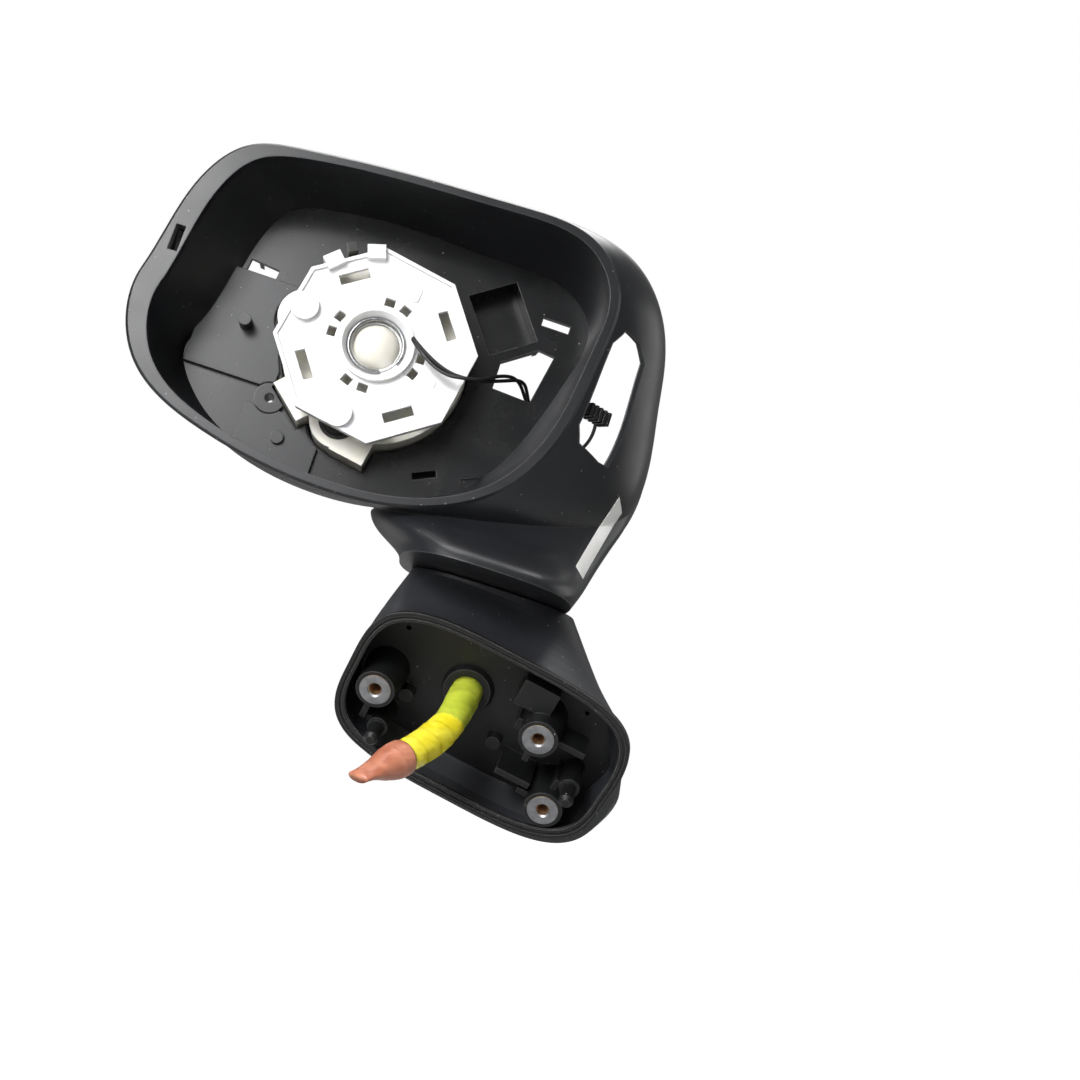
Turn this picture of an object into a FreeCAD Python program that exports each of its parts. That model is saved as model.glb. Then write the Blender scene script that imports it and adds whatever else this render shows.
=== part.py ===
import FreeCAD, Part
import math
import os

# Left-hand door mirror, folded, without its glass, back cap and turn lamp.  Millimetres.
# Row frame: +Z is the fold axis (up), -Y is where the glass looks when folded, -X is the tip.
# The origin is the centre of the door mounting face.

# ---- driving dimensions: head -------------------------------------------------------------
HEAD_WIDTH = 217.0
HEAD_HEIGHT = 164.0
HEAD_CENTRE_X = -107.5
HEAD_CENTRE_Z = 163.0
RIM_Y = -20.0
RIM_CHAMFER = 1.3
LIP_DEPTH = 5.0
BOWL_DEPTH = 45.0
SKIN = 2.6
FLARE_OUT = 45.0
FLARE_LENGTH = 22.0
TIP_SKIN_DEPTH = 28.0
INBOARD_DEPTH = 78.0
TAPER = 0.24
NECK_SECTIONS = ((0.8, -61.0, 24.0, -44.0, 62.0), (8.0, -67.0, 27.0, -38.0, 62.0),
                 (17.0, -80.0, 30.5, -22.0, 62.0), (30.0, -82.0, 34.5, -8.0, 61.0),
                 (48.0, -75.0, 40.5, 5.0, 61.0), (70.0, -60.0, 44.0, 15.0, 61.0))

# flanges on the bowl floor: centre x, centre z, width, height; and the heights of their posts
TAB_PLACES = ((-170.0, 156.0, 46.0, 54.0), (-137.0, 106.0, 40.0, 26.0))
POST_HEIGHTS = (9.0, 2.0)
TAB_THICK = 3.0
SIDE_BOSS = (-83.0, 238.5)
EYELET_PLACE = (-147.0, 124.0)
EYELET_RADIUS = 7.6
CLIP_TOWERS = ((-150.0, 206.0, 12.0), (-176.0, 130.0, 60.0), (-82.0, 224.0, -4.0))

# outlines of the head opening, as shares of the half width and half height, from the tip round
RIM_SHAPE = ((-1.00, -0.10), (-0.96, 0.21), (-0.90, 0.54), (-0.76, 0.80),
             (-0.53, 0.89), (-0.07, 0.96), (0.44, 1.00), (0.85, 0.93),
             (1.00, 0.67), (1.00, 0.27), (0.94, -0.26), (0.75, -0.70),
             (0.44, -0.93), (-0.02, -1.00), (-0.53, -0.89), (-0.90, -0.62))
LIP_SHAPE = ((-0.90, -0.16), (-0.86, 0.17), (-0.81, 0.49), (-0.70, 0.73),
             (-0.50, 0.83), (-0.07, 0.90), (0.43, 0.94), (0.82, 0.87),
             (0.95, 0.65), (0.95, 0.28), (0.89, -0.23), (0.71, -0.66),
             (0.42, -0.88), (-0.02, -0.94), (-0.51, -0.83), (-0.82, -0.59))
FLOOR_SHAPE = ((-0.79, -0.26), (-0.72, 0.00), (-0.66, 0.45), (-0.56, 0.71),
               (-0.37, 0.80), (-0.04, 0.85), (0.44, 0.84), (0.82, 0.77),
               (0.93, 0.60), (0.91, 0.27), (0.82, -0.13), (0.64, -0.57),
               (0.38, -0.79), (-0.02, -0.88), (-0.44, -0.79), (-0.71, -0.56))
# how strongly each outline point follows the flare: sideways towards the hinge end, and upwards
FLARE_SIDE = (0, 0, 0, 0, 0, 0, 0.15, 0.65, 0.82, 1.0, 1.25, 1.4, 0.7, 0.1, 0, 0)
FLARE_RISE = (0, 0, 0, 0, 0, 0, 0.12, 0.3, 0.1, 0, 0, 0, 0, 0, 0, 0)

# ---- driving dimensions: fold pivot -------------------------------------------------------
AXIS_X = -12.0
AXIS_Y = 30.0
PARTING_Z = 65.0
PARTING_GAP = 0.8
TUBE_RADIUS = 11.0
TUBE_BORE = 8.0
TUBE_TOP = 108.0
BEARING_CLEARANCE = 0.05
HUB_RADIUS = 20.0
HUB_HEIGHT = 10.0
DETENT_RADIUS = 19.0
DETENT_HEIGHT = 4.0
SPRING_RADIUS = 14.5
SPRING_WIRE = 3.2
SPRING_TURNS = 5
SPRING_HEIGHT = 22.0
SPRING_PLAY = 0.4
ARM_SCREWS = ((-41.0, 132.0), (-48.0, 119.0), (-74.0, 108.0))

# ---- driving dimensions: foot -------------------------------------------------------------
MOUNT_WIDTH = 136.0
MOUNT_HEIGHT = 84.0
MOUNT_SQUARENESS = 3.6
FOOT_PITCH = 34.0
FOOT_RAKE = 10.0
FOOT_TOP_WIDTH = 84.0
FOOT_TOP_DEPTH = 62.0
FOOT_WALL = 2.8
SHOULDER_WIDTH = 136.0
SHOULDER_HEIGHT = 86.0
SHOULDER_DEPTH = 24.0
SHOULDER_RISE = 3.0
SHOULDER_TUCK = 26.0
FOOT_STEPS = 8
FLOOR_DROP = 25.0
FLOOR_THICK = 3.0
FLOOR_FIT = 0.05
GASKET_HEIGHT = 2.4
GASKET_WIDTH = 4.5
INSERT_PLACES = ((-52.0, -8.0), (26.0, 9.0), (45.0, -24.0))
INSERT_FACE_RADIUS = 7.5
INSERT_BODY_RADIUS = 5.0
INSERT_LENGTH = 16.0
THREAD_RADIUS = 3.0
BOSS_RADIUS = 10.0
PIN_PLACES = ((-43.0, -28.0), (51.0, -9.0))
PIN_RADIUS = 3.5
PIN_STANDOUT = 9.0
HARNESS_RADIUS = 8.0
HARNESS_PLACE = (-13.0, 2.0)
STAND_SCREWS = ((10.0, -15.0), (-38.0, -14.0), (-14.0, 29.0))

# ---- driving dimensions: glass actuator ---------------------------------------------------
ACT_X = -104.0
ACT_Z = 160.5
ACT_TURN = -10.0
CARRIER_RADIUS = 49.5
CARRIER_Y = 0.0
CARRIER_THICK = 2.4
BALL_RADIUS = 12.0
BALL_Y = 8.0
CUP_RADIUS = 17.0
GIMBAL_THICK = 1.0
RUNNING_GAP = 0.4
JACK_RADIUS = 39.0
JACK_TIP = 3.2
JACK_STEM = 3.4
THREAD_DEPTH = 0.6
SOCKET_Y = 3.0
SOCKET_PLAY = 1.5
BOOT_RADIUS = 9.5
BOOT_HEIGHT = 2.8
HOUSING_RADIUS = 46.0
HOUSING_Y = 14.0
HOUSING_WALL = 1.8
LOBE_RADIUS = 14.0
WELL_DEPTH = 11.0
WELL_GAP = 1.2
NUT_RADIUS = 6.5
WORM_RADIUS = 2.6
MOTOR_RADIUS = 6.0
WORM_GAP = 0.3
MOTOR_LENGTH = 20.0
MOTOR_FLAT = 5.0
CONNECTOR_WIDTH = 32.0
CONNECTOR_HEIGHT = 44.0
ACTUATOR_SCREW_RADIUS = 35.0
SCREW_RADIUS = 1.9
SCREW_HEAD = 4.0

# ---- driving dimensions: wiring -----------------------------------------------------------
WIRE_RADIUS = 0.9
TAPE_THICK = 0.8
TWIST_RADIUS = 1.45
LAMP_PLUG = (7.0, -5.0, 161.0)
HARNESS_TAIL = ((-16.0, -8.0, -6.0), (-28.5, -26.0, -22.0), (-46.0, -45.0, -36.0))
HEATER_PATH = ((-88.0, -8.0, 167.0), (-73.0, -9.0, 155.0), (-53.0, -10.0, 156.0), (-41.0, 0.0, 165.0),
               (-32.0, 13.0, 171.5), (-26.0, 29.0, 168.5), (-15.0, 42.0, 152.0), (-8.0, 39.0, 130.0))

# ---- derived places -----------------------------------------------------------------------
FLOOR_Y = RIM_Y + BOWL_DEPTH
BACK_Y = RIM_Y + INBOARD_DEPTH
WELL_Y = FLOOR_Y + WELL_DEPTH
WELL_BACK = WELL_Y + 2.2
DRIVE_Y = HOUSING_Y + 9.0
PLATE_BACK = FLOOR_Y + SKIN
FRAME_GROW = SKIN + 0.9
ARM_SEAT_Y = PLATE_BACK + 5.0
ARM_WEB_Y = PLATE_BACK + 9.4
ARM_BACK_Y = PLATE_BACK + 16.0
STAND_TOP = PARTING_Z - 5.0
HUB_Z = PARTING_Z + DETENT_HEIGHT
FRAME_SCREWS = tuple((x, z) for x, z, _, _ in TAB_PLACES) + (SIDE_BOSS,)
WORM_START = MOTOR_LENGTH + 3.5
WORM_OFFSET = NUT_RADIUS + WORM_RADIUS + WORM_GAP
MOTOR_START = JACK_RADIUS - WORM_START - 3.0
MOTOR_PLACES = ((WORM_OFFSET, -MOTOR_START, 270.0), (-MOTOR_START, WORM_OFFSET, 180.0))
CONNECTOR_TURN = ACT_TURN + 8.0
CONNECTOR_BACK = WELL_Y + 6.0
TUB_FLOOR = WELL_Y + 1.0
CRIMP_Y = TUB_FLOOR + 2.4
SPRING_Z = HUB_Z + HUB_HEIGHT + SPRING_PLAY
POINTS = 24

Vec = FreeCAD.Vector
FOOT_ROTATION = FreeCAD.Rotation(0, FOOT_RAKE, FOOT_PITCH)
FOOT_PLACE = FreeCAD.Placement(Vec(0, 0, 0), FOOT_ROTATION)


# ---- small builders -----------------------------------------------------------------------
def ring_wire(points):
    """A smooth closed curve through the points."""
    curve = Part.BSplineCurve()
    curve.interpolate(Points=[Vec(*p) for p in points], PeriodicFlag=True)
    return Part.Wire([curve.toShape()])


def loft(rings, ruled=False):
    """A closed solid through closed rings of points."""
    return Part.makeLoft([ring_wire(r) for r in rings], True, ruled)


def box(x0, x1, y0, y1, z0, z1):
    return Part.makeBox(x1 - x0, y1 - y0, z1 - z0, Vec(x0, y0, z0))


def rod(start, end, radius, end_radius=None):
    """A round bar, or a cone when the far radius is given."""
    a = Vec(*start)
    b = Vec(*end)
    run = b - a
    if end_radius is None:
        return Part.makeCylinder(radius, run.Length, a, run)
    return Part.makeCone(radius, end_radius, run.Length, a, run)


def rod_y(x, z, y0, y1, radius, end_radius=None):
    return rod((x, y0, z), (x, y1, z), radius, end_radius)


def rod_z(x, y, z0, z1, radius, end_radius=None):
    return rod((x, y, z0), (x, y, z1), radius, end_radius)


def prism_y(outline, y0, y1):
    """A flat outline in X and Z, made solid from y0 to y1."""
    corners = [Vec(x, y0, z) for x, z in outline]
    face = Part.Face(Part.makePolygon(corners + corners[:1]))
    return face.extrude(Vec(0, y1 - y0, 0))


def prism_z(outline, z0, z1):
    corners = [Vec(x, y, z0) for x, y in outline]
    face = Part.Face(Part.makePolygon(corners + corners[:1]))
    return face.extrude(Vec(0, 0, z1 - z0))


def joined(shapes):
    """One solid from overlapping or touching pieces."""
    first, rest = shapes[0], shapes[1:]
    if not rest:
        return first
    return first.fuse(rest).removeSplitter()


def save(name, shape):
    solids = shape.Solids
    result = solids[0] if len(solids) == 1 else Part.makeCompound(solids)
    result.exportStep("parts/" + name + ".step")
    print(name, len(solids), round(shape.Volume), shape.isValid())


def polar(radius, degrees):
    """A point beside the actuator centre, in X and Z, turned with the actuator."""
    angle = math.radians(degrees + ACT_TURN)
    return ACT_X + radius * math.cos(angle), ACT_Z + radius * math.sin(angle)


def turned_box(x, z, width, height, degrees, y0, y1):
    """A block that is turned in the plane of the glass."""
    block = box(-width / 2, width / 2, y0, y1, -height / 2, height / 2)
    block.rotate(Vec(0, 0, 0), Vec(0, -1, 0), degrees)
    block.translate(Vec(x, 0, z))
    return block


def inset(points, amount):
    """Moves each point of a closed flat outline inwards by the amount."""
    moved = []
    for i, (x, z) in enumerate(points):
        before = points[i - 1]
        after = points[(i + 1) % len(points)]
        dx, dz = after[0] - before[0], after[1] - before[1]
        length = math.hypot(dx, dz)
        moved.append((x + dz / length * amount, z - dx / length * amount))
    return moved


def superellipse(half_x, half_y, power):
    """Points of a rounded box outline, anticlockwise from +X."""
    points = []
    for i in range(POINTS):
        angle = 2 * math.pi * i / POINTS
        c, s = math.cos(angle), math.sin(angle)
        x = math.copysign(half_x * abs(c) ** (2 / power), c)
        y = math.copysign(half_y * abs(s) ** (2 / power), s)
        points.append((x, y))
    return points


def cord_path(points, name):
    """Straight runs joined by tangent arcs, each as large as its runs allow."""
    knots = [Vec(*p) for p in points]
    edges = []
    radii = []
    start = knots[0]
    for before, here, after in zip(knots, knots[1:], knots[2:]):
        into, out = here - before, after - here
        shorter = min(into.Length, out.Length)
        turn = into.getAngle(out)
        reach = 0.45 * shorter
        radii.append(round(reach / math.tan(turn / 2), 1))
        a = here - into.normalize() * reach
        b = here + out.normalize() * reach
        radius = reach / math.tan(turn / 2)
        inward = (a + b) * 0.5 - here
        middle = here + inward.normalize() * (radius / math.cos(turn / 2) - radius)
        edges.append(Part.LineSegment(start, a).toShape())
        edges.append(Part.Arc(a, middle, b).toShape())
        start = b
    edges.append(Part.LineSegment(start, knots[-1]).toShape())
    print(name, "bend radii", radii)
    return Part.Wire(edges)


def tube(points, radius, name):
    """A round cord along its route."""
    path = cord_path(points, name)
    along = Vec(*points[1]) - Vec(*points[0])
    section = Part.Wire([Part.makeCircle(radius, Vec(*points[0]), along)])
    solid = path.makePipeShell([section], True, True)
    ideal = math.pi * radius ** 2 * path.Length
    print(name, "length", round(path.Length, 1), "volume share", round(solid.Volume / ideal, 3))
    return solid


# ---- head outlines ------------------------------------------------------------------------
def head_outline(shape):
    half_w, half_h = HEAD_WIDTH / 2, HEAD_HEIGHT / 2
    return [(HEAD_CENTRE_X + a * half_w, HEAD_CENTRE_Z + b * half_h) for a, b in shape]


def at_y(points, y):
    return [(x, y, z) for x, z in points]


def flared(points, y):
    """The outer outline at a depth: the hinge end swells away from the rim, the rest tapers in."""
    depth = y - RIM_Y - RIM_CHAMFER
    run = FLARE_OUT * (1 - math.exp(-depth / FLARE_LENGTH))
    slim = inset(points, TAPER * depth)
    outline = []
    for (x, z), (sx, sz), side, rise in zip(points, slim, FLARE_SIDE, FLARE_RISE):
        keep = min(1.0, 1.4 * side)
        outline.append((x * keep + sx * (1 - keep) + run * side, z * keep + sz * (1 - keep) + run * rise))
    return outline


def head_block(skin):
    """The outside of the head, moved inwards by the skin."""
    rim = head_outline(RIM_SHAPE)
    front = RIM_Y + RIM_CHAMFER if skin == 0 else RIM_Y + LIP_DEPTH
    depths = (front, RIM_Y + 13, RIM_Y + 28, RIM_Y + 50, BACK_Y + skin)
    body = loft([at_y(inset(flared(rim, y), skin), y) for y in depths])
    if skin:
        return body
    nose = loft([at_y(inset(rim, RIM_CHAMFER), RIM_Y), at_y(rim, RIM_Y + RIM_CHAMFER)], True)
    return joined([nose, body])


def bowl_block(skin, front):
    """The space in front of the floor, grown outwards by the skin."""
    lip = inset(head_outline(LIP_SHAPE), -skin)
    floor = inset(head_outline(FLOOR_SHAPE), -skin)
    middle = [(0.6 * a + 0.4 * c, 0.6 * b + 0.4 * d) for (a, b), (c, d) in zip(lip, floor)]
    swollen = inset(middle, -1.5)
    deep = loft([at_y(lip, RIM_Y + LIP_DEPTH), at_y(swollen, RIM_Y + 22), at_y(floor, FLOOR_Y)])
    mouth = loft([at_y(lip, front), at_y(lip, RIM_Y + LIP_DEPTH)], True)
    return joined([mouth, deep])


def neck_block(skin):
    """The flared stalk under the hinge end of the head."""
    rings = []
    for i, (rise, left, right, front, back) in enumerate(NECK_SECTIONS):
        z = PARTING_Z + rise + (max(skin, 0) if i == 0 else 0)
        outline = superellipse((right - left) / 2 - skin, (back - front) / 2 - skin, 2.8 - 0.1 * i)
        rings.append([((left + right) / 2 + x, (front + back) / 2 + y, z) for x, y in outline])
    return loft(rings)


def side_window():
    """The lamp window in the hinge-end wall."""
    outline = ((-17.5, 194), (-15, 203), (-8, 201), (-3, 194), (-3.3, 184),
               (-4, 138), (-8, 138), (-15, 142), (-17, 150))
    corners = [Vec(-1.0, y, z) for y, z in outline]
    face = Part.Face(Part.makePolygon(corners + corners[:1]))
    return face.extrude(Vec(40, 0, 0))


# ---- head pieces --------------------------------------------------------------------------
def visor_shell():
    hollow = head_block(SKIN).fuse(neck_block(SKIN))
    outer = head_block(0).fuse(neck_block(0))
    tip_back = RIM_Y + TIP_SKIN_DEPTH
    rear = prism_z(((-400, tip_back), (-78, tip_back), (-42, BACK_Y - 4), (-42, 300), (-400, 300)), 0, 400)
    rear = rear.fuse(box(-400, 200, BACK_Y, 300, PARTING_Z + 36, 400))
    rear = rear.cut(box(-400, 200, 0, 300, 0, PARTING_Z + 20))
    skin = outer.cut(hollow).cut(rear)
    space = bowl_block(0, RIM_Y - 1)
    wall = bowl_block(SKIN, RIM_Y + LIP_DEPTH - 1).cut(space)
    shell = skin.cut(space).fuse(wall)
    pass_through = rod_z(AXIS_X, AXIS_Y, PARTING_Z - 1, PARTING_Z + 9, DETENT_RADIUS + 1.5)
    slot = turned_box(-205.5, 173, 4.5, 13, 0, RIM_Y - 2, RIM_Y + 40)
    shell = shell.cut([pass_through, slot, side_window()])
    return shell.fuse(visor_tabs(bowl_block(SKIN, RIM_Y + LIP_DEPTH - 1)))


def visor_tabs(bowl):
    """Flanges on the bowl floor that the frame is screwed to, and a boss beside the wall."""
    tabs = []
    well = housing_outline(WELL_GAP + 1, FLOOR_Y - TAB_THICK - 1, FLOOR_Y + 1)
    eyelet = rod_y(*EYELET_PLACE, FLOOR_Y - TAB_THICK - 1, FLOOR_Y + 1, EYELET_RADIUS + 0.6)
    for (x, z, width, height), tall in zip(TAB_PLACES, POST_HEIGHTS):
        flange = turned_box(x, z, width, height, 0, FLOOR_Y - TAB_THICK, FLOOR_Y)
        flange = flange.common(bowl).cut([well, eyelet])
        post = rod_y(x, z, FLOOR_Y - TAB_THICK - tall, FLOOR_Y, 3.3)
        pilot = rod_y(x, z, FLOOR_Y - TAB_THICK - 1, FLOOR_Y + 1, SCREW_RADIUS)
        tabs.append(flange.fuse(post).cut(pilot))
    x, z = SIDE_BOSS
    boss = rod_y(x, z, FLOOR_Y - 14, FLOOR_Y, 4.6).cut(bowl)
    tabs.append(boss.cut(rod_y(x, z, FLOOR_Y - 6, FLOOR_Y + 1, SCREW_RADIUS)))
    return tabs


def frame_plate():
    """Moulded frame: plate behind the bowl, actuator well, recess box, bosses and ribs."""
    floor = inset(head_outline(FLOOR_SHAPE), -FRAME_GROW)
    slim = inset(floor, 2.2)
    plate = loft([at_y(floor, FLOOR_Y), at_y(floor, PLATE_BACK)], True)
    edge = loft([at_y(floor, FLOOR_Y), at_y(floor, FLOOR_Y + 9)], True)
    edge = edge.cut(loft([at_y(slim, FLOOR_Y - 1), at_y(slim, FLOOR_Y + 10)], True))
    drum = housing_outline(WELL_GAP + 2.2, FLOOR_Y, WELL_BACK)
    well = housing_outline(WELL_GAP, FLOOR_Y - 4, WELL_Y)
    pocket = turned_box(-50, 203, 30, 37, 36, FLOOR_Y, FLOOR_Y + 16)
    pocket_space = turned_box(-50, 203, 26, 33, 36, FLOOR_Y - 1, FLOOR_Y + 14)
    body = plate.fuse([edge, drum, pocket] + frame_bosses() + frame_domes() + frame_ribs() + frame_clips())
    cuts = [well, pocket_space, connector_window()] + frame_holes() + frame_slots()
    return body.cut(cuts).fuse([frame_hook()]).removeSplitter()


def frame_hook():
    """Catch that reaches forward between the two arms of the glass carrier."""
    x, z = polar(53.5, 131)
    stem = turned_box(x, z, 3, 5, 131 + ACT_TURN, 4, FLOOR_Y + 1)
    nose = turned_box(*polar(52.4, 131), 4.6, 5, 131 + ACT_TURN, 3, 6)
    return stem.fuse(nose)


def connector_window():
    return turned_box(ACT_X, ACT_Z, CONNECTOR_WIDTH + 0.1, CONNECTOR_HEIGHT + 0.1, CONNECTOR_TURN,
                      FLOOR_Y, FLOOR_Y + 40)


def jack_places():
    return polar(JACK_RADIUS, -90), polar(JACK_RADIUS, 180)


def actuator_screw_places():
    return [polar(ACTUATOR_SCREW_RADIUS, angle) for angle in (135, 225, 315)]


def frame_bosses():
    bosses = [rod_y(x, z, FLOOR_Y, FLOOR_Y + 9, 7.0) for x, z in FRAME_SCREWS]
    bosses += [rod_y(x, z, FLOOR_Y, ARM_SEAT_Y, 5.0) for x, z in ARM_SCREWS]
    bosses.append(rod_y(*EYELET_PLACE, FLOOR_Y - 3, FLOOR_Y + 11, EYELET_RADIUS))
    bosses.append(rod_y(-180, 172, FLOOR_Y, FLOOR_Y + 14, 3.2))
    return bosses


def frame_domes():
    """Blind domes behind the jacks: the threaded stems run back into them."""
    domes = []
    for x, z in jack_places():
        domes.append(rod_y(x, z, WELL_Y, WELL_Y + 4, 14.0))
        domes.append(rod_y(x, z, WELL_Y, WELL_Y + 11, 9.0, 7.5))
    return domes


def frame_ribs():
    ribs = []
    for x, z, width, height, turn in ((-178, 200, 2, 34, 20), (-178, 118, 2, 30, -30), (-60, 225, 44, 2, -4),
                                      (-40, 140, 2, 40, -25), (-150, 215, 40, 2, 12), (-70, 108, 40, 2, -12),
                                      (-110, 104, 50, 2, 2), (-30, 185, 2, 44, -8)):
        ribs.append(turned_box(x, z, width, height, turn, FLOOR_Y, FLOOR_Y + 9))
    return ribs


def frame_clips():
    """Stepped pocket and clip towers on the back of the frame, for the cap that snaps over it."""
    steps = [turned_box(-108, 217.5 + 4 * i, 30, 4.2, -4, FLOOR_Y, FLOOR_Y + 15 - 3 * i) for i in range(3)]
    towers = []
    for x, z, turn in CLIP_TOWERS:
        towers.append(turned_box(x, z, 12, 9, turn, FLOOR_Y, FLOOR_Y + 11))
        towers.append(turned_box(x, z, 17, 2.4, turn, FLOOR_Y, FLOOR_Y + 7))
    return steps + towers


def frame_slots():
    """The catch slot through each clip tower."""
    return [turned_box(x, z, 7, 5, turn, PLATE_BACK, FLOOR_Y + 12) for x, z, turn in CLIP_TOWERS]


def frame_holes():
    holes = [rod_y(x, z, FLOOR_Y - 1, FLOOR_Y + 20, SCREW_RADIUS + 0.3) for x, z in FRAME_SCREWS]
    holes += [rod_y(x, z, FLOOR_Y + 4, FLOOR_Y + 20, SCREW_HEAD + 0.6) for x, z in FRAME_SCREWS]
    holes += [rod_y(x, z, FLOOR_Y - 1, FLOOR_Y + 40, SCREW_RADIUS + 0.3) for x, z in actuator_screw_places()]
    holes += [rod_y(x, z, FLOOR_Y - 1, WELL_Y + 9, JACK_STEM + 1.5) for x, z in jack_places()]
    holes += [rod_y(x, z, PLATE_BACK - 1.6, ARM_SEAT_Y + 1, SCREW_RADIUS) for x, z in ARM_SCREWS]
    holes += [rod_y(x, z, ARM_SEAT_Y, ARM_SEAT_Y + 9, 5.6) for x, z in ARM_SCREWS]
    holes.append(rod_y(*EYELET_PLACE, FLOOR_Y - 5, FLOOR_Y + 20, 2.4))
    holes.append(turned_box(-167.5, 139, 11, 6, -10, FLOOR_Y - 1, FLOOR_Y + 20))
    holes.append(turned_box(-172, 186, 15, 7, -6, FLOOR_Y - 5, FLOOR_Y + 20))
    holes.append(turned_box(-23, 208.5, 14.5, 4.5, 0, FLOOR_Y - 1, FLOOR_Y + 20))
    holes.append(turned_box(-63, 112, 12, 3.5, 25, FLOOR_Y - 1, FLOOR_Y + 20))
    lead_window = ((-44, 166), (-44, 181), (-28, 193), (-19, 192), (-24, 165))
    holes.append(prism_y(lead_window, FLOOR_Y - 1, FLOOR_Y + 40))
    holes.append(prism_y(((-45, 116), (-33, 121), (-42, 107)), FLOOR_Y - 1, FLOOR_Y + 1.2))
    return holes


def pivot_arm():
    """Cast hinge arm: hub on the pivot tube and a web screwed to the back of the frame."""
    hub = rod_z(AXIS_X, AXIS_Y, HUB_Z, HUB_Z + HUB_HEIGHT, HUB_RADIUS)
    top = HUB_Z + HUB_HEIGHT
    outline = ((-42, HUB_Z), (AXIS_X, HUB_Z), (AXIS_X, top), (-30, top), (-36, 137), (-46, 137),
               (-58, 120), (-80, 114), (-80, 102), (-62, 96))
    web = prism_y(outline, ARM_WEB_Y, ARM_BACK_Y)
    feet = [rod_y(x, z, ARM_SEAT_Y, ARM_WEB_Y + 1, 5.0) for x, z in ARM_SCREWS]
    bore = rod_z(AXIS_X, AXIS_Y, HUB_Z - 1, HUB_Z + HUB_HEIGHT + 1, TUBE_RADIUS + BEARING_CLEARANCE)
    bolts = [rod_y(x, z, ARM_SEAT_Y - 1, ARM_BACK_Y + 1, SCREW_RADIUS + 0.2) for x, z in ARM_SCREWS]
    return joined([hub, web] + feet).cut([bore] + bolts)


def screw(x, z, seat_y, length):
    """A pan-head screw driven from behind, with a cross recess."""
    head = rod_y(x, z, seat_y, seat_y + 2.6, SCREW_HEAD, SCREW_HEAD - 1.2)
    shank = rod_y(x, z, seat_y - length, seat_y + 0.1, SCREW_RADIUS - 0.05)
    slots = [turned_box(x, z, 4.4, 1.0, a, seat_y + 1.2, seat_y + 4) for a in (20, 110)]
    return head.fuse(shank).cut(slots)


def frame_screws():
    return Part.makeCompound([screw(x, z, FLOOR_Y + 4, 7.5) for x, z in FRAME_SCREWS])


def actuator_screws():
    return Part.makeCompound([screw(x, z, WELL_BACK, 12) for x, z in actuator_screw_places()])


def arm_screws():
    return Part.makeCompound([screw(x, z, ARM_BACK_Y, 16) for x, z in ARM_SCREWS])


# ---- glass actuator -----------------------------------------------------------------------
def housing_outline(grow, y0, y1):
    """The actuator body in plan: a disc with a lobe at each jack, and a corner block."""
    pieces = [rod_y(ACT_X, ACT_Z, y0, y1, HOUSING_RADIUS + grow)]
    pieces += [rod_y(x, z, y0, y1, LOBE_RADIUS + grow) for x, z in jack_places()]
    x, z = polar(HOUSING_RADIUS + 2, -76)
    pieces.append(turned_box(x, z, 18 + 2 * grow, 14 + 2 * grow, ACT_TURN, y0, y1))
    x, z = polar(HOUSING_RADIUS, -122)
    pieces.append(turned_box(x, z, 22 + 2 * grow, 10 + 2 * grow, -42, y0, y1))
    return joined(pieces)


def actuator_housing():
    """Ivory case of the glass actuator, open at the back."""
    outer = housing_outline(0, HOUSING_Y, WELL_Y)
    inner = housing_outline(-HOUSING_WALL, HOUSING_Y + HOUSING_WALL, WELL_Y + 1)
    body = outer.cut(inner)
    bosses = [rod_y(x, z, HOUSING_Y + 0.5, WELL_Y, 4.2) for x, z in actuator_screw_places()]
    guides = [rod_y(x, z, HOUSING_Y, DRIVE_Y - 4.4, JACK_STEM + 1.8) for x, z in jack_places()]
    body = joined([body] + bosses + guides + motor_cradles())
    cuts = [rod_y(x, z, WELL_Y - 12, WELL_Y + 1, SCREW_RADIUS) for x, z in actuator_screw_places()]
    cuts += [rod_y(x, z, HOUSING_Y - 1, DRIVE_Y, JACK_STEM + 0.3) for x, z in jack_places()]
    cuts.append(rod_y(ACT_X, ACT_Z, HOUSING_Y - 1, HOUSING_Y + HOUSING_WALL + 1, 6.0))
    return body.cut(cuts)


def motor_cradles():
    """Rests that hold each motor off the front wall of the case."""
    low = HOUSING_Y + HOUSING_WALL - 0.5
    high = DRIVE_Y - MOTOR_FLAT
    return [placed_motor(box(reach, reach + 3, low - DRIVE_Y, high - DRIVE_Y, -3, 3), *spot)
            for spot in MOTOR_PLACES for reach in (4, 14)]


def pivot_ball():
    """Fixed ball stud that the glass carrier swivels on."""
    ball = Part.makeSphere(BALL_RADIUS, Vec(ACT_X, BALL_Y, ACT_Z))
    ball = ball.common(rod_y(ACT_X, ACT_Z, BALL_Y - BALL_RADIUS - 1, BALL_Y + 3.4, 30))
    stem = rod_y(ACT_X, ACT_Z, BALL_Y, HOUSING_Y + 8, 6.0)
    washer = rod_y(ACT_X, ACT_Z, HOUSING_Y + HOUSING_WALL, HOUSING_Y + 6, 9.0)
    return joined([ball, stem, washer])


def ball_band(inner, outer, y0, y1):
    """A ring cut from a ball shell about the swivel centre."""
    centre = Vec(ACT_X, BALL_Y, ACT_Z)
    shell = Part.makeSphere(outer, centre).cut(Part.makeSphere(inner, centre))
    return shell.common(rod_y(ACT_X, ACT_Z, y0, y1, outer + 2))


def gimbal_ring():
    inner = BALL_RADIUS + RUNNING_GAP
    return ball_band(inner, inner + GIMBAL_THICK, BALL_Y - 5.0, BALL_Y - 1.0)


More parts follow.
